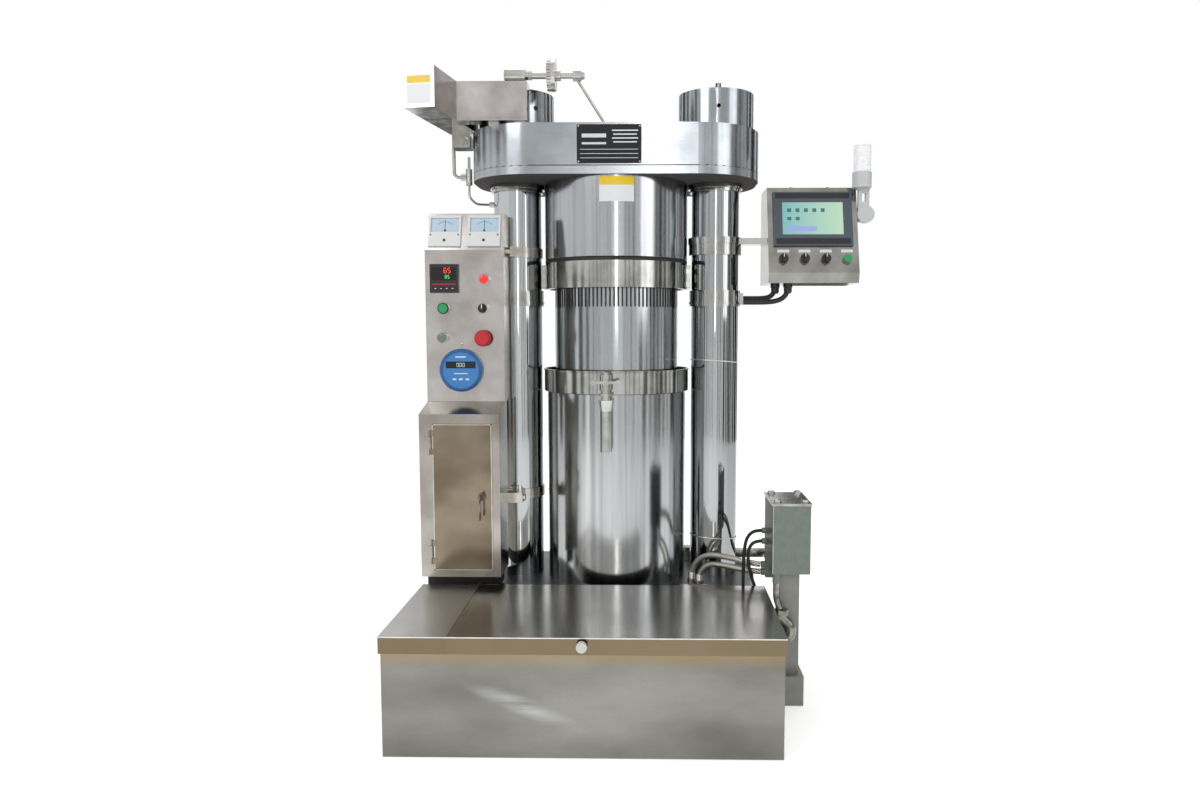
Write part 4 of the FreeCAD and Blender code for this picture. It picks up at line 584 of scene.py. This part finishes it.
# Thin dark strips on the floor of each drain slot are painted shade inside the slots.
SLOT_COUNT, SLOT_FLOOR, SLOT_HALF, SLOT_LOW, SLOT_HIGH = 96, 156.6, 2.3, 930, 988
slot_shade = plastic("slot_painted_shade_dark", "#2a2622", 0.35, 1.5, 0.2, 0.4)
corners, faces = [], []
for i in range(SLOT_COUNT):
    turn = math.radians(360 * i / SLOT_COUNT)
    for height in (SLOT_LOW, SLOT_HIGH):
        for side in (-1, 1):
            for r in (SLOT_FLOOR, SLOT_FLOOR + 0.3):
                corners.append((r * math.sin(turn) + side * SLOT_HALF * math.cos(turn),
                                -r * math.cos(turn) + side * SLOT_HALF * math.sin(turn), height))
    start = 8 * i
    for face in ((0, 2, 3, 1), (4, 5, 7, 6), (1, 3, 7, 5), (0, 4, 6, 2), (0, 1, 5, 4), (2, 6, 7, 3)):
        faces.append(tuple(start + k for k in face))
piece("slot_painted_shade", corners, faces, slot_shade, "ram")
paint_node(tray_steel, "oil_tray")


# Oil tank and lid. Brushed stainless sheet with its grain lying level, folded and welded. The front lip of the
# lid is a shade browner than its top, a painted reflection of the warm floor.
tank_steel = steel_sheet("stainless_sheet_brushed_level", ("#6d6c66", "#92918b"), 0.24, 0.6, (0.02, 0.02, 1), 240,
                         0.35, 190, (0.5, 1, 1.3), (0, 0.45, 0))
tree = tank_steel.node_tree
# Along its top the front is tinted warmer.
where = add_node(tree, "ShaderNodeTexCoord").outputs["Object"]
top = share_along(tree, "Object", 2, 0.188, 0.216, 0.7)
fore = share_along(tree, "Object", 1, -0.50, -0.56)
top_warm_band = add_node(tree, "ShaderNodeMath", links={0: top, 1: fore}, operation="MULTIPLY")
change_over(tank_steel, "Base Color", top_warm_band.outputs[0], "#98845f")
# A polishing mark, 300 mm long and 44 mm wide, slants down across the front at x -172 and z 110 mm.
MARK_SLANT = -0.38
spot = where
for values in ({"Location": (0.172, 0, -0.110)}, {"Rotation": (0, MARK_SLANT, 0)},
               {"Scale": (1 / 0.15, 0, 1 / 0.022)}):
    spot = add_node(tree, "ShaderNodeMapping", values, {"Vector": spot}).outputs[0]
spot = add_node(tree, "ShaderNodeTexGradient", links={"Vector": spot}, gradient_type="SPHERICAL")
scratch = add_node(tree, "ShaderNodeMapping", {"Rotation": (0, MARK_SLANT, 0), "Scale": (0.4, 1, 7)},
                   {"Vector": where})
scratch = add_node(tree, "ShaderNodeTexNoise", {"Scale": 9.0, "Detail": 4.0}, {"Vector": scratch.outputs[0]})
scratch = add_node(tree, "ShaderNodeMapRange", {"From Min": 0.35, "From Max": 0.65}, {"Value": scratch.outputs[0]})
mark = add_node(tree, "ShaderNodeMath", links={0: spot.outputs[1], 1: scratch.outputs[0]}, operation="MULTIPLY")
faint = add_node(tree, "ShaderNodeMath", {1: 0.55}, {0: mark.outputs[0]}, operation="MULTIPLY")
change_over(tank_steel, "Base Color", faint.outputs[0], "#d3d6da")
paint_node(tank_steel, "tank_box")
lid_steel = steel_sheet("stainless_lid_brushed_level", ("#adaba7", "#c9c7c3"), 0.19, 0.6, (0.02, 1, 1), 200, 0.12,
                        240)
tree = lid_steel.node_tree
# The front lip has a painted warm reflection of the floor, up to the knob's face, which stands in front of it.
lip = share_along(tree, "Normal", 1, -0.8, -0.95, 0.86)
fore = share_along(tree, "Object", 1, -0.5935, -0.5925)
lip_floor_reflection = add_node(tree, "ShaderNodeMath", links={0: lip, 1: fore}, operation="MULTIPLY")
change_over(lid_steel, "Base Color", lip_floor_reflection.outputs[0], "#6a5836")
# The rear lip is left as rough as the sheet came, and the part left of the seam was ground by hand.
change_over(lid_steel, "Roughness", share_along(tree, "Normal", 1, 0.8, 0.95), 0.6)
change_over(lid_steel, "Roughness", share_along(tree, "Object", 0, -0.322, -0.328, 0.75), 0.4)
paint_node(lid_steel, "tank_lid")
LID_TOP, LID_MIDDLE, LID_DEEP, SEAM_X, KNOB_X, BACK = 254.5, -410, 358, -325, -49.5, (0, 1, 0)
marks("lid_seam", joint_rubber, "lid", (SEAM_X, LID_MIDDLE, LID_TOP), FRONT, BACK, [(0, 0, 1.2, LID_DEEP, 0)], 0.1)
slab("lid_strip", lid_steel, "lid", (SEAM_X + 8, LID_MIDDLE, LID_TOP), FRONT, BACK, 14, LID_DEEP, 0.4)
# A pale matt steel paints highlights: a strip along the top front edge of the lid and the bright knob cap.
pale_highlight_steel = steel_sheet("steel_matt_painted_highlight", ("#d2d2ce", "#ecece8"), 0.45, 0.5, (1, 1, 1), 20, 0.02, 20)
slab("lid_front_edge_highlight", pale_highlight_steel, "lid", (KNOB_X, -592.0, 253.2), FRONT, UP, 830, 2.2, 0.25)
turned_piece("lid_knob_cap", [(11.2, 0), (11.2, 5), (9, 7.4), (0.1, 7.8)], pale_highlight_steel, "lid", (KNOB_X, -600, 239.4),
             TOWARDS, 40)


# Lower cabinet with its door, lock and clamps. Brushed stainless with an upright grain. Its warm cast, brown on
# the door, is a painted reflection of warm surroundings. The clamp bands are nickel plated, and the lock with
# its key is a dark zinc casting.
cabinet_warm_reflection_steel = steel_sheet("stainless_cabinet_polished", ("#8b867e", "#aca8a0"), 0.16, 0.6, (1, 1, 0.02), 120, 0.3,
                            110)
nickel = steel_sheet("brass_nickel_plated", ("#aaa69c", "#c6c3bb"), 0.18, 0.8, (1, 1, 1), 30, 0.03, 30)
# The door's dark brown is a painted reflection of the room in front of it.
door_brown_reflection_steel = steel_sheet("stainless_door_polished", ("#584c3f", "#8e8271"), 0.14, 0.6, (1, 1, 0.02), 140, 0.3, 170,
                         (0.7, 1, 1))
paint_node(cabinet_warm_reflection_steel, "lower_cabinet")
paint_node(door_brown_reflection_steel, "cabinet_door")
# Lighter nickel strips round the folded rim of the door are a painted highlight all round.
RIM_WIDE, RIM_TALL, RIM = 142, 356, 2.5
rim = [(0, side * 176.5, RIM_WIDE, RIM, 0) for side in (1, -1)]
rim += [(side * 70, 0, RIM, RIM_TALL, 0) for side in (-1, 1)]
marks("door_rim_highlight", nickel, "door", (-361.5, -240.35, 470.5), FRONT, UP, rim, 0.35)
paint_node(nickel, "cabinet_clamps")
lock_steel = steel_sheet("zinc_diecast_dark", ("#4d4a45", "#7d7a74"), 0.24, 0.8, (1, 1, 1), 20, 0.03, 12)
paint_node(lock_steel, "door_lock")
# A black sheet set back under the cabinet is painted shade under it.
under_cabinet_shade = plastic("painted_shade_black", "#121314", 0.5, 1.0, 0.03)
slab("cabinet_shade_sheet", under_cabinet_shade, "root", (-372, -130, 258), FRONT, UP, 180, 36, 60)


# Control housing. Brushed stainless like the cabinet but cooler, with one pan head screw on its front.
panel_steel = steel_sheet("stainless_panel_polished", ("#aaa5a1", "#c3bfbc"), 0.17, 0.6, (1, 1, 0.02), 100, 0.3, 80)
paint_node(panel_steel, "control_housing")
PANEL_FACE = -150
SCREW_X, SCREW_Z = -376, 837
turned_piece("panel_screw", [(4, 0), (3.8, 1.0), (2.6, 1.7), (0.1, 1.9)], nickel, "root",
             (SCREW_X, PANEL_FACE, SCREW_Z), TOWARDS, 24)
marks("panel_screw_slot", joint_rubber, "root", (SCREW_X, PANEL_FACE - 1.75, SCREW_Z), FRONT, UP,
      [(0, 0, 4.2, 0.8, 30), (0, 0, 0.8, 4.2, 30)], 0.25)


# Panel meters on the leaning face. White ABS cases 80 mm square, a pale blue dial card with an arc scale and
# ticks round the needle's pivot, a black zero screw and two dark case screws each.
METER_X = (-417, -320)
METER_LEAN = math.atan(28 / 91)
METER_UP = (0, math.sin(METER_LEAN), math.cos(METER_LEAN))
METER_OUT = (0, -METER_UP[2], METER_UP[1])
METER_FOOT = 1068
meter_white = plastic("abs_moulded_white", "#dcdedd", 0.35, 0.7, 0.05, 0.05)
dial_card = plastic("card_printed_pale_blue", "#b9cfe0", 0.5, 0.5, 0.02, 0.04)
black_ink = plastic("ink_printed_black", "#1a1b1e", 0.45, 0.5, 0.02)
black_plastic = plastic("abs_moulded_black", "#1b1b1d", 0.36, 0.8, 0.06)
paint_node(meter_white, "panel_meters")
paint_node(black_plastic, "voltmeter_needle", "ammeter_needle")


def on_meter(x, rise, out):
    """A spot on the leaning face: across, up the face and out of it, in millimetres."""
    return (x, PANEL_FACE + rise * METER_UP[1] - out * METER_UP[2],
            METER_FOOT + rise * METER_UP[2] + out * METER_UP[1])


for label, x in zip(("voltmeter", "ammeter"), METER_X):
    slab(label + "_dial", dial_card, "root", on_meter(x, 63.2, 2.02), FRONT, METER_UP, 69.6, 36.4, 0.2)
    scale = []
    for i in range(19):
        turn = math.radians(-45 + 5 * i)
        scale.append((23 * math.sin(turn), 23 * math.cos(turn), 2.15, 0.6, -math.degrees(turn)))
    for i in range(11):
        turn = math.radians(-45 + 9 * i)
        long = 4.6 if i % 5 == 0 else 2.6
        away = 23.3 + long / 2
        scale.append((away * math.sin(turn), away * math.cos(turn), 0.6, long, -math.degrees(turn)))
    marks(label + "_scale", black_ink, "root", on_meter(x, 49.6, 2.24), FRONT, METER_UP, scale, 0.05)
    turned_piece(label + "_zero_screw", [(3.4, 0), (3.4, 0.9), (2.8, 1.4), (0.1, 1.5)], black_ink, "root",
                 on_meter(x, 23, 6.0), METER_OUT, 32)
    for number, (across, rise) in enumerate(((-34, 37.3), (34, 37.3))):
        turned_piece("%s_case_screw_%d" % (label, number + 1), [(2.0, 0), (1.8, 0.6), (0.1, 0.9)], black_ink, "root",
                     on_meter(x + across, rise, 6.0), METER_OUT, 16)


# Push buttons, lamps and selector on the panel. Polished bezels, a red lamp that is lit, a dull green lamp that
# isn't, a green start button in a black ring, a black selector with a white pointer and a red stop button.
red_lens, tree, shader = new_material("polycarbonate_lens_red_lit", "#d8141c", 0, 0.22, 1.58,
                                      Emission_Color=linear("#ff2a22"), Emission_Strength=0.55)
bump_surface(tree, shader, 600.0, 2.0, 0.3, 0.0003)
dull_lens = plastic("polycarbonate_lens_dull_green", "#6f8174", 0.25, 1.2, 0.1)
green_plastic = plastic("abs_moulded_green", "#1fa35a", 0.32, 0.8, 0.05)
red_plastic = plastic("abs_moulded_matt_red", "#c3212b", 0.45, 0.8, 0.08)
paint_node(turned_steel, "button_bezels")
paint_node(green_plastic, "start_button")
paint_node(black_plastic, "selector_knob")
paint_node(red_plastic, "emergency_stop")
lens_shape = [(11, 0), (11, 9.8), (10.4, 11.2), (8.6, 12.2), (5, 12.9), (0.1, 13)]
lit = turned_piece("red_lamp", lens_shape, red_lens, "root", (-319, PANEL_FACE, 996), TOWARDS, 40)
dull = turned_piece("ready_lamp", lens_shape, dull_lens, "root", (-424, PANEL_FACE, 853), TOWARDS, 40)
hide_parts("indicator_lamps")
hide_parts("indicator_lamps")
turned_piece("start_ring", [(11.2, 0), (13.9, 0), (13.6, 1.6), (11.2, 1.6)], black_ink, "root",
             (-420, PANEL_FACE - 10, 925), TOWARDS, 40, hoop=True)
marks("selector_pointer", white_vinyl, "selector", (-323, -171.02, 925), FRONT, UP, [(0, 4.6, 2.2, 10, 0)], 0.3)


# Temperature controller. A black case with a dark window, two red digits over two green ones, a red stripe below
# and four keys.
def digits(number, tall):
    """Rectangles of a seven segment number, centred on its face."""
    lit = {"0": "abcdef", "1": "bc", "2": "abged", "3": "abgcd", "4": "fgbc", "5": "afgcd", "6": "afgedc", "7": "abc",
           "8": "abcdefg", "9": "abcdfg"}
    wide, thick = 0.5 * tall, 0.13 * tall
    spots = {"a": (0, 0.5, 1), "g": (0, 0, 1), "d": (0, -0.5, 1), "f": (-0.5, 0.25, 0), "b": (0.5, 0.25, 0),
             "e": (-0.5, -0.25, 0), "c": (0.5, -0.25, 0)}
    rects = []
    for place, figure in enumerate(number):
        middle = (place - (len(number) - 1) / 2) * tall * 0.8
        for part in lit[figure]:
            across, rise, level = spots[part]
            rects.append((middle + across * wide, rise * tall, wide - thick if level else thick,
                          thick if level else tall / 2 - thick, 0))
    return rects


window_black, tree, shader = new_material("acrylic_cast_smoked", "#0b0c0e", 0, 0.12, 1.49)
vary_roughness(tree, shader, 60.0, 0.08, 0.16)


def glowing(name, code, strength):
    """A lit segment or panel behind a diffuser."""
    made, tree, shader = new_material(name, code, 0, 0.4, 1.49, Emission_Color=linear(code),
                                      Emission_Strength=strength)
    vary_roughness(tree, shader, 900.0, 0.35, 0.45)
    return made


led_red = glowing("led_segment_red", "#ff3b30", 1.0)
led_green = glowing("led_segment_green", "#35e06a", 0.9)
paint_node(black_plastic, "temperature_controller")
CONTROLLER_X, DIGITS_X, WINDOW_FACE = -417, -409, -157.05
slab("controller_window", window_black, "root", (CONTROLLER_X, -156.52, 1009.5), FRONT, UP, 59.4, 30.4, 0.5, 1)
marks("controller_red_digits", led_red, "root", (DIGITS_X, WINDOW_FACE, 1017.5), FRONT, UP, digits("65", 12), 0.1)
marks("controller_green_digits", led_green, "root", (DIGITS_X, WINDOW_FACE, 1002), FRONT, UP, digits("85", 8), 0.1)
marks("controller_stripe", red_plastic, "root", (CONTROLLER_X, -158.02, 984), FRONT, UP, [(0, 0, 58, 2.2, 0)], 0.15)
marks("controller_key_marks", white_vinyl, "root", (CONTROLLER_X, -159.32, 973.5), FRONT, UP,
      [(-21 + 14 * i, 0, 4.5, 1.4, 0) for i in range(4)], 0.1)


# Round pressure display. A blue ABS case with a paler blue face, a black window with pale digits, and small bars
# and keys.
gauge_blue = plastic("polycarbonate_printed_blue", "#3c82c4", 0.3, 0.8, 0.03, 0.08)
case_blue = plastic("abs_moulded_deep_blue", "#2a5f96", 0.3, 0.8, 0.05)
lcd_pale = glowing("lcd_segment_pale", "#cfd9d4", 0.25)
paint_node(case_blue, "pressure_display")
GAUGE_X, GAUGE_Z, GAUGE_WINDOW_Z = -378, 773, 786.5
turned_piece("gauge_face", [(44.8, 0), (44.8, 0.25), (0.1, 0.25)], gauge_blue, "root", (GAUGE_X, -162.5, GAUGE_Z),
             TOWARDS, 64)
slab("gauge_window", window_black, "root", (GAUGE_X, -163.22, GAUGE_WINDOW_Z), FRONT, UP, 73, 16.4, 0.3, 1.5)
marks("gauge_digits", lcd_pale, "root", (GAUGE_X, -163.55, GAUGE_WINDOW_Z), FRONT, UP, digits("000", 9), 0.05)
marks("gauge_marks", white_vinyl, "root", (GAUGE_X, -162.78, GAUGE_Z), FRONT, UP,
      [(0, -8, 34, 2.2, 0), (-16, -22, 9, 4, 0), (0, -22, 9, 4, 0), (16, -22, 9, 4, 0), (0, 33, 26, 3, 0)], 0.1)


# Drive on top of the beam. Pale polished sheet boxes with a bare white plate under a yellow band on the front end,
# bright pipe work and a turned screw spindle with its supports.
drive_steel = steel_sheet("stainless_sheet_pale_polished", ("#a9a4a1", "#cfcac8"), 0.17, 1.0, (0.04, 0.04, 1), 110,
                          0.3, 90)
pipe_steel = steel_sheet("stainless_drawn_bright", ("#9c9c97", "#c0c0bb"), 0.16, 0.8, (1, 1, 0.05), 50, 0.05, 40)
paint_node(drive_steel, "drive_housing")
paint_node(pipe_steel, "oil_line", "drive_valve", "outlet_valve", "outlet_handle")
fitting_steel = steel_sheet("steel_zinc_plated_dull", ("#66655f", "#9b9992"), 0.26, 0.8, (1, 1, 1), 24, 0.08, 16)
paint_node(fitting_steel, "oil_pipes")
END_TURN = math.radians(9)
END_RIGHT = (math.cos(END_TURN), -math.sin(END_TURN), 0)
END_X, END_Y = -439.0, -279.92
slab("drive_plate", white_vinyl, "root", (END_X, END_Y, 1409), END_RIGHT, UP, 58, 44, 0.3, 1)
slab("drive_plate_band", yellow_vinyl, "root", (END_X, END_Y, 1441), END_RIGHT, UP, 58, 18, 0.3, 1)


# Folded console on the swing arm. Brushed stainless with its touch panel, whose slate grey frame has darker bands
# above and below a teal screen. The screen carries plain dark squares and a violet band.
CONSOLE_LEAN = math.radians(15.6)
CONSOLE_UP = (0, math.sin(CONSOLE_LEAN), math.cos(CONSOLE_LEAN))


def on_console(across, rise, out):
    """A spot on the leaning console face: across from its left side, up the face and out of it."""
    return (390 + across, -60 + rise * CONSOLE_UP[1] - out * CONSOLE_UP[2],
            1017 + rise * CONSOLE_UP[2] + out * CONSOLE_UP[1])


console_steel = steel_sheet("stainless_console_polished", ("#807f79", "#9c9b95"), 0.14, 0.6, (0.02, 1, 1), 90, 0.3,
                            70)
slate = plastic("abs_moulded_slate_grey", "#4a525c", 0.4, 0.7, 0.06)
slate_dark = plastic("film_printed_dark_slate", "#15181c", 0.45, 1.0, 0.02)
icon_dark = glowing("screen_icon_dark", "#3c605f", 0.3)
violet = glowing("screen_band_violet", "#8390c0", 0.5)
paint_node(console_steel, "console_box")
paint_node(slate, "touch_panel")
screen, tree, shader = new_material("glass_screen_teal_lit", "#2f9aa0", 0, 0.15, 1.52, Emission_Strength=0.6)
# The screen runs from x 427 to 583 mm, and turns from teal to green over that width.
across = share_along(tree, "Object", 0, 0.427, 0.583)
tone = add_node(tree, "ShaderNodeMix", {"A": linear("#669a9c"), "B": linear("#9cb59c")}, {"Factor": across},
                data_type="RGBA")
tree.links.new(tone.outputs["Result"], shader.inputs["Emission Color"])
tree.links.new(tone.outputs["Result"], shader.inputs["Base Color"])
SCREEN_X, SCREEN_RISE, SCREEN_FACE = 115, 144, 5.95
slab("screen", screen, "arm", on_console(SCREEN_X, SCREEN_RISE, 5.52), FRONT, CONSOLE_UP, 155.4, 87.4, 0.4)
slab("screen_band_top", slate_dark, "arm", on_console(SCREEN_X, 205, 7.02), FRONT, CONSOLE_UP, 190, 15, 0.2, 2)
slab("screen_band_bottom", slate_dark, "arm", on_console(SCREEN_X, 82, 7.02), FRONT, CONSOLE_UP, 190, 16, 0.2, 2)
icons = [(-60 + 21.5 * i, 22, 10, 10, 0) for i in range(5)] + [(-60 + 21.5 * i, -1, 10, 9, 0) for i in range(2)]
for label, made, rects in (("icons", icon_dark, icons), ("violet_band", violet, [(-29, -28, 76, 13, 0)])):
    marks("screen_" + label, made, "arm", on_console(SCREEN_X, SCREEN_RISE, SCREEN_FACE), FRONT, CONSOLE_UP, rects,
          0.05)


# Console knobs and button. Black ABS with white pointers, under bare white label plates.
paint_node(black_plastic, "console_knob_left", "console_knob_middle", "console_knob_right")
paint_node(green_plastic, "console_button")
KNOB_FIRST, KNOB_STEP = 38, 54
for number, label in enumerate(("left", "middle", "right")):
    marks("pointer_" + label, white_vinyl, "knob_" + label, on_console(KNOB_FIRST + KNOB_STEP * number, 41.5, 17.02),
          FRONT, CONSOLE_UP, [(0, 0, 1.8, 9, 0)], 0.3)
# Two black glands hold the cables where they leave the console's underside.
for label, x, y in (("front", 446, -12), ("rear", 416, 10)):
    turned_piece("console_gland_" + label, [(12, 0), (12, 9), (10.4, 10), (10.4, 20), (8.4, 24), (7, 25)],
                 black_plastic, "arm", (x, y, 990.9), (0, 0, -1), 24)
for number in range(4):
    slab("console_label_%d" % (number + 1), white_vinyl, "arm",
         on_console(KNOB_FIRST + KNOB_STEP * number, 57.5, 0.05), FRONT, CONSOLE_UP, 30, 8, 0.5, 1)


# Signal lamp. A pale grey bracket and ring, and a milky lens with moulded rings that glows faintly.
lamp_grey = plastic("abs_moulded_pale_grey", "#c9cacc", 0.35, 0.7, 0.05, 0.05)
milky, tree, shader = new_material("acrylic_moulded_milky", "#eceef0", 0, 0.2, 1.49, Subsurface_Weight=0.5,
                                   Subsurface_Scale=0.01, Emission_Color=linear("#f4f6f8"), Emission_Strength=0.12)
vary_roughness(tree, shader, 300.0, 0.14, 0.26)
paint_node(lamp_grey, "signal_lamp")
LENS_RADIUS, RING_STEP = 22.1, 5.6
lens_profile = [(21.4, 0.5)]
for i in range(11):
    low = RING_STEP * i
    lens_profile += [(LENS_RADIUS, 3 + low), (LENS_RADIUS, 6.4 + low), (LENS_RADIUS - 0.4, 7.2 + low)]
lens_profile += [(21.4, 66.4), (19.5, 69), (16.7, 71), (0.1, 71)]
turned_piece("lamp_lens", lens_profile, milky, "lamp", (629, -24, 1272), steps=48)


# Valve box. Cast iron in grey green enamel under a ground steel cover with four plated cap nuts, and bright
# swaged ferrules where the two hoses leave the bed.
valve_paint = enamel_coat("iron_cast_grey_green_enamel", ("#727c74", "#667068", "#808a82"), 0.15, 0.4, 12.0, 260.0,
                          4.0, 0.4, 0.0004)
# Its left side stands in the shade of the column, so it is painted darker as painted shade.
change_over(valve_paint, "Base Color", share_along(valve_paint.node_tree, "Normal", 0, -0.8, -0.95), "#4f554f")
paint_node(valve_paint, "valve_box")
cover_and_corner_highlight_steel = steel_sheet("steel_cover_ground", ("#8f928e", "#b4b7b2"), 0.22, 0.7, (0.05, 1, 1), 60, 0.05, 30)
VALVE_X, VALVE_Y, COVER_WIDE, COVER_LONG, COVER_THICK = 413.5, -260, 90.6, 143.6, 5.6
slab("valve_cover_top", cover_and_corner_highlight_steel, "root", (VALVE_X, VALVE_Y, 477), FRONT, BACK, COVER_WIDE, COVER_LONG, 0.3)
slab("valve_cover_front", cover_and_corner_highlight_steel, "root", (VALVE_X, -332.0, 474), FRONT, UP, COVER_WIDE, COVER_THICK, 0.2)
slab("valve_cover_side", cover_and_corner_highlight_steel, "root", (368.0, VALVE_Y, 474), TOWARDS, UP, COVER_LONG, COVER_THICK, 0.2)
# A bright strip down the front left corner is a painted highlight on the edge.
marks("valve_corner_highlight", cover_and_corner_highlight_steel, "root", (VALVE_X, -330.0, 391), FRONT, UP, [(-42.4, 0, 1.8, 157, 0)], 0.15)
cap_nut = [(10.2, 0), (10.2, 1.4), (8.4, 1.5), (8.4, 5.2), (7, 6.6), (0.1, 7)]
for number, (i, j) in enumerate(((-1, -1), (1, -1), (-1, 1), (1, 1))):
    turned_piece("valve_cap_nut_%d" % (number + 1), cap_nut, nickel, "root",
                 (VALVE_X + 31.3 * i, VALVE_Y + 53.2 * j, 477.2), steps=24)
ferrule = [(11, 0), (11, 7), (9.2, 7.4), (9.2, 9), (8.8, 9.6), (8.8, 22), (8.2, 23), (7.1, 23.4)]
for label, x, y in (("front", 214, -124), ("rear", 196, -104)):
    turned_piece("ferrule_" + label, ferrule, nickel, "root", (x, y, 230.3), steps=32)
